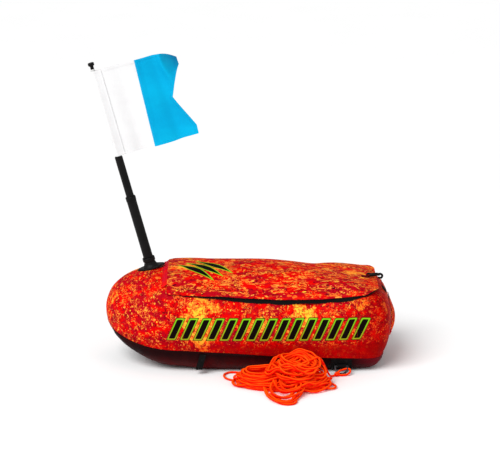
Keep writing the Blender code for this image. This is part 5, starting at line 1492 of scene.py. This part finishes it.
# ----------------------------------------------------------------- the closure
def closure():
    """Moulded hook on a short webbing tab, and the thin elastic it catches."""
    y = -.0120
    # shank with an open ring at its end
    shank = [(.2895, .2109), (.2940, .2112), (.2990, .2116), (.3040, .2121), (.3085, .2126)]
    c, r = np.array([.3160, .2083]), .0050
    ring = [(c[0] + r * math.cos(a), c[1] + r * math.sin(a)) for a in np.linspace(math.radians(128), math.radians(-150), 34)]
    pts = np.array([(x, y, z) for x, z in shank + ring])
    pts = spaced(smooth_curve3(pts, 3), .0008)
    s = np.concatenate([[0], np.cumsum(np.linalg.norm(np.diff(pts, axis=0), axis=1))]) / .0485
    rad = np.interp(s, [0, .12, .30, .45, .58, .85, .97, 1.0], [.0042, .0047, .0044, .0036, .0028, .0027, .0023, .0013])
    hook = tube_mesh("hook_body", pts, .003, sides=20, radii=rad)
    give(hook, BLACK_PLASTIC)
    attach(hook, "hook")
    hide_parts("closure_hook")
    th = np.linspace(0, 2 * math.pi, 40, endpoint=False)
    eye = tube_mesh("hook_eye_ring", np.array([(.2880 + .0046 * math.cos(a), y, .2112 + .0040 * math.sin(a)) for a in th]), .0019, sides=12, closed=True)
    give(eye, BLACK_PLASTIC)
    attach(eye, "hook")
    # the tab: a webbing band through the eye, stitched to the lid
    top = lid_z(.272, y)
    band = [(.2700, top + .0010), (.2760, lid_z(.276, y) + .0014), (.2820, lid_z(.282, y) + .0026), (.2862, .2122), (.2884, .2126), (.2896, .2112), (.2884, .2098), (.2860, .2100), (.2800, lid_z(.280, y) + .0008), (.2720, lid_z(.272, y) + .0004)]
    path = spaced(smooth_curve3(np.array([(x, 0, z) for x, z in band]), 6), .0008)
    path[:, 2] = np.maximum(path[:, 2], np.array([lid_z(p[0], y) + .0002 for p in path]))
    ws = np.linspace(-.0050, .0050, 9)
    G = np.array([[(p[0], y + w, p[2]) for w in ws] for p in path])
    N = grid_normals(G, closed=False)
    tab = closed_sheet("hook_tab_webbing", G + N * .00055, G - N * .00055)
    give(tab, webbing_material("tab_webbing", dark=(0.070, 0.0010, 0.0030), light=(0.180, 0.0026, 0.0080)))
    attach(tab, "lid")
    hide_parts("hook_tab")
    # elastic cord: a thin loop from the anchor towards the hook
    a = [(.3226, -.0105, .1835), (.3212, -.0101, .1880), (.3196, -.0104, .1935), (.3186, -.0112, .1975), (.3184, -.0120, .1990), (.3186, -.0128, .1975), (.3196, -.0136, .1935), (.3212, -.0139, .1880), (.3226, -.0135, .1835)]
    el = tube_mesh("elastic_cord", spaced(smooth_curve3(np.array(a), 6), .0008), .00105, sides=10)
    n = Nodes("elastic_cord")
    uv = n.xyz(n.uv())
    wv = n.math("SINE", n.math("ADD", n.math("MULTIPLY", uv[0], 2 * math.pi / .0011), n.math("MULTIPLY", uv[1], 4 * math.pi)))
    give(el, n.out(Base_Color=n.mix(n.ramp(wv, -.5, .8), (0.16, 0.001, 0.005), (0.30, 0.002, 0.010)), Roughness=.6, Normal=n.bump(wv, .5, .0003), Specular_IOR_Level=.1))
    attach(el, "hull")
    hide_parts("elastic_loop")


closure()

# -------------------------------------------------------------- the float line
LINE_D = 0.005
LINE_LENGTH = 20.0
LINE_STEP = 0.004
LEAD = [(0.2100, -0.1530, 0.0032), (0.2040, -0.1526, 0.0030), (0.1984, -0.1545, 0.0029), (0.1952, -0.1577, 0.0029), (0.1931, -0.1606, 0.0030)]
COILS = [  # centre, half axes, rotation, turns, inwards: laid down in this order
    (.074, -.220, .108, .054, -4, 4.0, True), (.024, -.205, .064, .040, 8, 4.2, True), (.076, -.262, .050, .080, 8, 3.6, False),
    (.130, -.222, .064, .056, 0, 5.0, False), (.056, -.213, .094, .046, -6, 4.2, True), (.022, -.202, .060, .036, -5, 4.2, True),
    (.150, -.204, .044, .042, 0, 4.2, False), (.084, -.262, .042, .066, -18, 2.6, False), (.106, -.238, .054, .062, -10, 4.0, False),
    (.034, -.200, .060, .034, 10, 3.6, True), (.124, -.222, .058, .052, 20, 4.2, False), (.060, -.208, .078, .040, 4, 3.4, True),
    (.144, -.208, .042, .044, 30, 3.4, False), (.104, -.230, .050, .060, -22, 3.6, False), (.096, -.215, .064, .044, 22, 3.0, True),
    (.118, -.220, .052, .050, 40, 3.2, False), (.092, -.218, .056, .046, 10, 2.8, True), (.106, -.232, .046, .056, -14, 3.0, False),
    (.118, -.214, .054, .044, 0, 3.0, True)]
LOOPS = {0: [(-.020, -.136), (-.044, -.126), (-.058, -.134), (-.064, -.152), (-.058, -.176), (-.036, -.190), (.000, -.200)],
         2: [(.060, -.250), (.046, -.285), (.052, -.318), (.068, -.344), (.088, -.352), (.106, -.342), (.108, -.320), (.095, -.296), (.095, -.262)],
         3: [(.150, -.196), (.184, -.206), (.200, -.218), (.204, -.236), (.192, -.250), (.168, -.252), (.140, -.240)],
         7: [(.060, -.250), (.046, -.285), (.054, -.306), (.072, -.318), (.092, -.314), (.100, -.296), (.110, -.262)],
         5: [(.000, -.190), (-.022, -.180), (-.038, -.188), (-.034, -.206), (-.010, -.214), (.030, -.222)]}
FOOT = [(.070, -.1530), (.050, -.1530), (.030, -.1525), (.006, -.1470)]
LEAVE = [(.140, -.214), (.160, -.202), (.178, -.188), (.188, -.174)]


def heap_plan(share, seed):
    """The line's route over the floor from its free end: loose coils dropped on
    each other, whose turns lie side by side, a few loops that stray outside,
    and at last the run that goes to the ring."""
    rng = np.random.default_rng(seed)
    way = list(FOOT)
    for k, (cx, cy, a, b, rot, turns, inward) in enumerate(COILS):
        turns = turns * share
        if k in LOOPS:
            way += LOOPS[k]
        h2, h3, p2, p3 = rng.uniform(.03, .10), rng.uniform(.02, .08), rng.uniform(0, 6.3), rng.uniform(0, 6.3)
        last = np.array(way[-1])
        t = math.atan2((last[1] - cy) / b, (last[0] - cx) / a) + .5
        pitch = rng.uniform(.0054, .0066)
        wob = np.cumsum(rng.normal(0, 1, (64, 2)), 0) * .0009
        wob -= wob.mean(0)
        n = int(turns * 30)
        way_turn = 1 if rng.random() < .8 else -1
        for m in range(n):
            f = m / n
            w = pitch * turns * (f if inward else 1 - f)
            tt = t + way_turn * 2 * math.pi * turns * f
            q = 1 + h2 * math.sin(2 * tt + p2) + h3 * math.sin(3 * tt + p3)
            u = np.array([np.interp(f * 63, np.arange(64), wob[:, i]) for i in (0, 1)])
            ea, eb = max(a - w, .024) * q, max(b - w, .024) * q
            c, s_ = math.cos(math.radians(rot)), math.sin(math.radians(rot))
            x, y = ea * math.cos(tt), eb * math.sin(tt)
            way.append((cx + x * c - y * s_ + u[0], cy + x * s_ + y * c + u[1]))
    way += LEAVE + [q[:2] for q in LEAD[::-1]]
    way = np.array(way)
    seg = np.concatenate([[0], np.cumsum(np.linalg.norm(np.diff(way, axis=0), axis=1))])
    target = np.arange(0, seg[-1], .002)
    T = np.stack([np.interp(target, seg, way[:, i]) for i in (0, 1)], 1)
    first = seg[len(FOOT) + len(LOOPS[0])] / .002
    p = T[0].copy()
    th = math.pi
    kap, pts, it = 0.0, [p.copy()], 0
    while True:
        while it < len(T) - 1 and np.hypot(*(T[it] - p)) < .017:
            it += 1
        if it >= len(T) - 1 or len(pts) > 9000:
            break
        v = T[it] - p
        d_th = (math.atan2(v[1], v[0]) - th + math.pi) % (2 * math.pi) - math.pi
        want = np.clip(2 * math.sin(d_th) / max(np.hypot(*v), .012), -62, 62) if abs(d_th) < 1.5 else math.copysign(62, d_th)
        kap = float(np.clip(kap + (want - kap) * .6, -62, 62))
        th += kap * LINE_STEP
        p = p + LINE_STEP * np.array([math.cos(th), math.sin(th)])
        # it leans against the hull's side rather than through it; the first
        # loop, on the floor, goes a little way in under its curve
        if it < first:
            p[1] = min(p[1], -.1512 if p[0] > .012 else -.1512 + .026 * min((.012 - p[0]) / .030, 1))
        elif it < len(T) - 12:
            p[1] = min(max(-.1640, p[1] - .0028) if p[1] > -.1640 else p[1], -.1530)
        pts.append(p.copy())
    pts = np.array(pts)
    # end at the lead's own end
    k = int(np.argmin(np.hypot(*(pts[-40:] - LEAD[-1][:2]).T))) + len(pts) - 40
    pts = pts[:k + 1]
    off = np.array(LEAD[-1][:2]) - pts[-1]
    pts[-10:] += np.linspace(0, 1, 10)[:, None] ** 1.5 * off
    return pts


def near_pairs(xy, d, skip):
    c = np.floor(xy / d).astype(np.int64)
    key = c[:, 0] * 100000 + c[:, 1]
    order = np.argsort(key, kind="stable")
    sk = key[order]
    I, J = [], []
    for dx in (-1, 0, 1):
        for dy in (-1, 0, 1):
            t = key + dx * 100000 + dy
            lo, hi = np.searchsorted(sk, t, "left"), np.searchsorted(sk, t, "right")
            cnt = hi - lo
            i = np.repeat(np.arange(len(xy)), cnt)
            off = np.arange(cnt.sum()) - np.repeat(np.cumsum(cnt) - cnt, cnt)
            j = order[np.repeat(lo, cnt) + off]
            m = (j - i) > skip
            I.append(i[m])
            J.append(j[m])
    i, j = np.concatenate(I), np.concatenate(J)
    dist = np.hypot(*(xy[i] - xy[j]).T)
    m = dist < d
    return i[m], j[m], dist[m]


def heap_heights(xy, lead_z):
    """The line comes down on itself in the order in which it was let go: where
    it crosses, the later run lies on the earlier one."""
    d = LINE_D * 0.80
    n = len(xy)
    i, j, dist = near_pairs(xy, d, 6)
    rise = np.sqrt(np.maximum(d * d - dist * dist, 0))
    base = np.full(n, LINE_D / 2 + .0003)
    z = base.copy()
    k = 85.0
    reach = int(.042 / LINE_STEP)
    drop = [0.5 * k * (m * LINE_STEP) ** 2 for m in range(1, reach)]
    stretch = np.ones(len(i))
    for it in range(60):
        before = z
        c = base.copy()
        np.maximum.at(c, j, z[i] + rise * stretch)
        z = c.copy()
        for m, dz in enumerate(drop, 1):
            np.maximum(z[m:], c[:-m] - dz, out=z[m:])
            np.maximum(z[:-m], c[m:] - dz, out=z[:-m])
        if it == 25:
            sl = np.abs(np.gradient(z, LINE_STEP))
            sec = np.sqrt(1 + np.maximum(sl[i], sl[j]) ** 2)
            stretch = np.minimum(sec, 1.25)
        if it > 26 and np.abs(z - before).max() < 1e-5:
            break
    for it in range(90):
        lap = np.zeros(n)
        lap[1:-1] = .5 * (z[:-2] + z[2:]) - z[1:-1]
        lap4 = np.zeros(n)
        lap4[1:-1] = .5 * (lap[:-2] + lap[2:]) - lap[1:-1]
        z = z + .55 * lap - .25 * lap4 - (.00012 if it < 60 else 0.0)
        z = np.maximum(z, base)
        np.maximum.at(z, j, z[i] + rise * stretch)
    for it in range(6):
        z[1:-1] += .5 * (.5 * (z[:-2] + z[2:]) - z[1:-1])
    return np.maximum(z, base)


def heap_route(seed=6):
    share = .86
    for _ in range(4):
        xy = heap_plan(share, seed)
        p = np.column_stack([xy, heap_heights(xy, LEAD[-1][2])])
        total = np.linalg.norm(np.diff(p, axis=0), axis=1).sum() + .03
        if abs(total - LINE_LENGTH) < .01 * LINE_LENGTH:
            break
        share *= (LINE_LENGTH / total) ** .9
    return p


def line_material():
    n = Nodes("float_line")
    uv = n.xyz(n.uv())
    u = n.math("MULTIPLY", uv[0], 1 / 0.0034)
    a = n.math("FRACT", n.math("ADD", u, n.math("MULTIPLY", uv[1], 3.0)))
    b = n.math("FRACT", n.math("SUBTRACT", u, n.math("MULTIPLY", uv[1], 3.0)))
    ridge = lambda v: n.math("SUBTRACT", 1.0, n.math("ABSOLUTE", n.math("MULTIPLY_ADD", v, 2.0, -1.0)))
    h = n.math("MAXIMUM", ridge(a), ridge(b))
    fleck = n.noise(n.vec(n.math("MULTIPLY", uv[0], 60.0), uv[1], 0.0), 1.0, 3)
    # painted light: where the strand's surface faces up it is coloured orange, as if lit from above, and deep red where
    # it faces sideways or down; a slow change along the line adds random tone
    up = n.xyz(n("ShaderNodeNewGeometry", {}).outputs["Normal"])[2]
    far = n.noise(n.vec(n.math("MULTIPLY", uv[0], 9.0), 0.0, 0.0), 1.0, 2)
    painted_top_light_and_tone = n.math("MULTIPLY", n.ramp(up, -.05, .95), n.ramp(far, .36, .60, .45, 1.0))
    col = n.mix(painted_top_light_and_tone, (0.88, 0.0020, 0.0006), (1.0, 0.112, 0.003))
    # painted shade: deeper red in the braid's grooves
    col = n.mix(n.math("MULTIPLY", n.ramp(h, .75, .30), .35), col, (0.86, 0.003, 0.0008))
    col = n.mix(n.math("MULTIPLY", n.ramp(fleck, .50, .78), .5), col, (1.0, 0.130, 0.006))
    # painted light: a faint red glow that brightens the shaded gaps between the strands
    return n.out(Base_Color=col, Roughness=0.66, Normal=n.bump(h, 0.45, 0.0006), Specular_IOR_Level=0.03, Emission_Color=(1.0, 0.004, 0.0005, 1.0), Emission_Strength=0.06)


LINE_MAT = line_material()


def smooth_curve(p, per):
    """Catmull-Rom points through p."""
    q = np.vstack([2 * p[0] - p[1], p, 2 * p[-1] - p[-2]])
    t = np.linspace(0, 1, per, endpoint=False)[:, None]
    a, b, c, d = q[:-3, None], q[1:-2, None], q[2:-1, None], q[3:, None]
    t = t[None]
    out = 0.5 * ((2 * b) + (-a + c) * t + (2 * a - 5 * b + 4 * c - d) * t ** 2 + (-a + 3 * b - 3 * c + d) * t ** 3)
    return np.vstack([out.reshape(-1, 3), p[-1:]])


def float_line():
    heap = heap_route()
    lead = smooth_curve(np.array(LEAD), 3)
    path = np.vstack([lead[:-2], heap[::-1][1:]])
    path = smooth_curve(spaced(path, .0045), 2)
    for _ in range(2):
        path[1:-1] += .35 * (.5 * (path[:-2] + path[2:]) - path[1:-1])
    path[:, 2] = np.maximum(path[:, 2], LINE_D / 2 + .0002)
    ob = tube_mesh("float_line", path, LINE_D / 2, sides=8)
    give(ob, LINE_MAT)
    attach(ob, "hull")
    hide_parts("line_heap", "line_lead")
    total = float(np.linalg.norm(np.diff(path, axis=0), axis=1).sum())
    return ob, path, total


FLOAT_LINE, LINE_PATH, LINE_TOTAL = float_line()


def knot(name, centre, lead_in, r, size, body):
    """A small overhand knot: the line wound through itself."""
    ez = np.asarray(lead_in, float)
    ez /= np.linalg.norm(ez)
    ex = np.cross([0, 0, 1.0], ez)
    ex /= np.linalg.norm(ex)
    ey = np.cross(ez, ex)
    t = np.linspace(0, 2 * np.pi, 120, endpoint=False)
    x = (np.sin(t) + 2 * np.sin(2 * t)) / 3
    y = (np.cos(t) - 2 * np.cos(2 * t)) / 3
    z = -np.sin(3 * t) / 2.2
    pts = np.asarray(centre) + size * (x[:, None] * ex + y[:, None] * ez * 1.15 + z[:, None] * ey)
    pts[:, 2] = np.maximum(pts[:, 2], r + .0002)
    ob = tube_mesh(name, pts, r, sides=12, closed=True)
    give(ob, LINE_MAT)
    return ob


def line_ends():
    # the eye through the ring under the near side
    eye = np.array([(.2088, -.1508, .0042), (.2150, -.1512, .0032), (.2220, -.1508, .0031), (.2300, -.1492, .0036), (.2368, -.1455, .0058), (.2395, -.1405, .0098),
                    (.2375, -.1360, .0125), (.2310, -.1328, .0125), (.2240, -.1335, .0108), (.2188, -.1372, .0102), (.2150, -.1425, .0112), (.2110, -.1475, .0098), (.2082, -.1500, .0072)])
    path = smooth_curve3(eye, 8)
    ob = tube_mesh("line_eye", path, LINE_D / 2, sides=12)
    give(ob, LINE_MAT)
    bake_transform(ob)
    k = knot("line_eye_knot", (.2070, -.1516, .0062), (-1.0, -.25, 0), .0023, .0046, "hull")
    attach(k, "hull")
    e = knot("line_end_knot", tuple(LINE_PATH[-1]), tuple(LINE_PATH[-1] - LINE_PATH[-4]), .0023, .0048, "hull")
    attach(e, "hull")


line_ends()
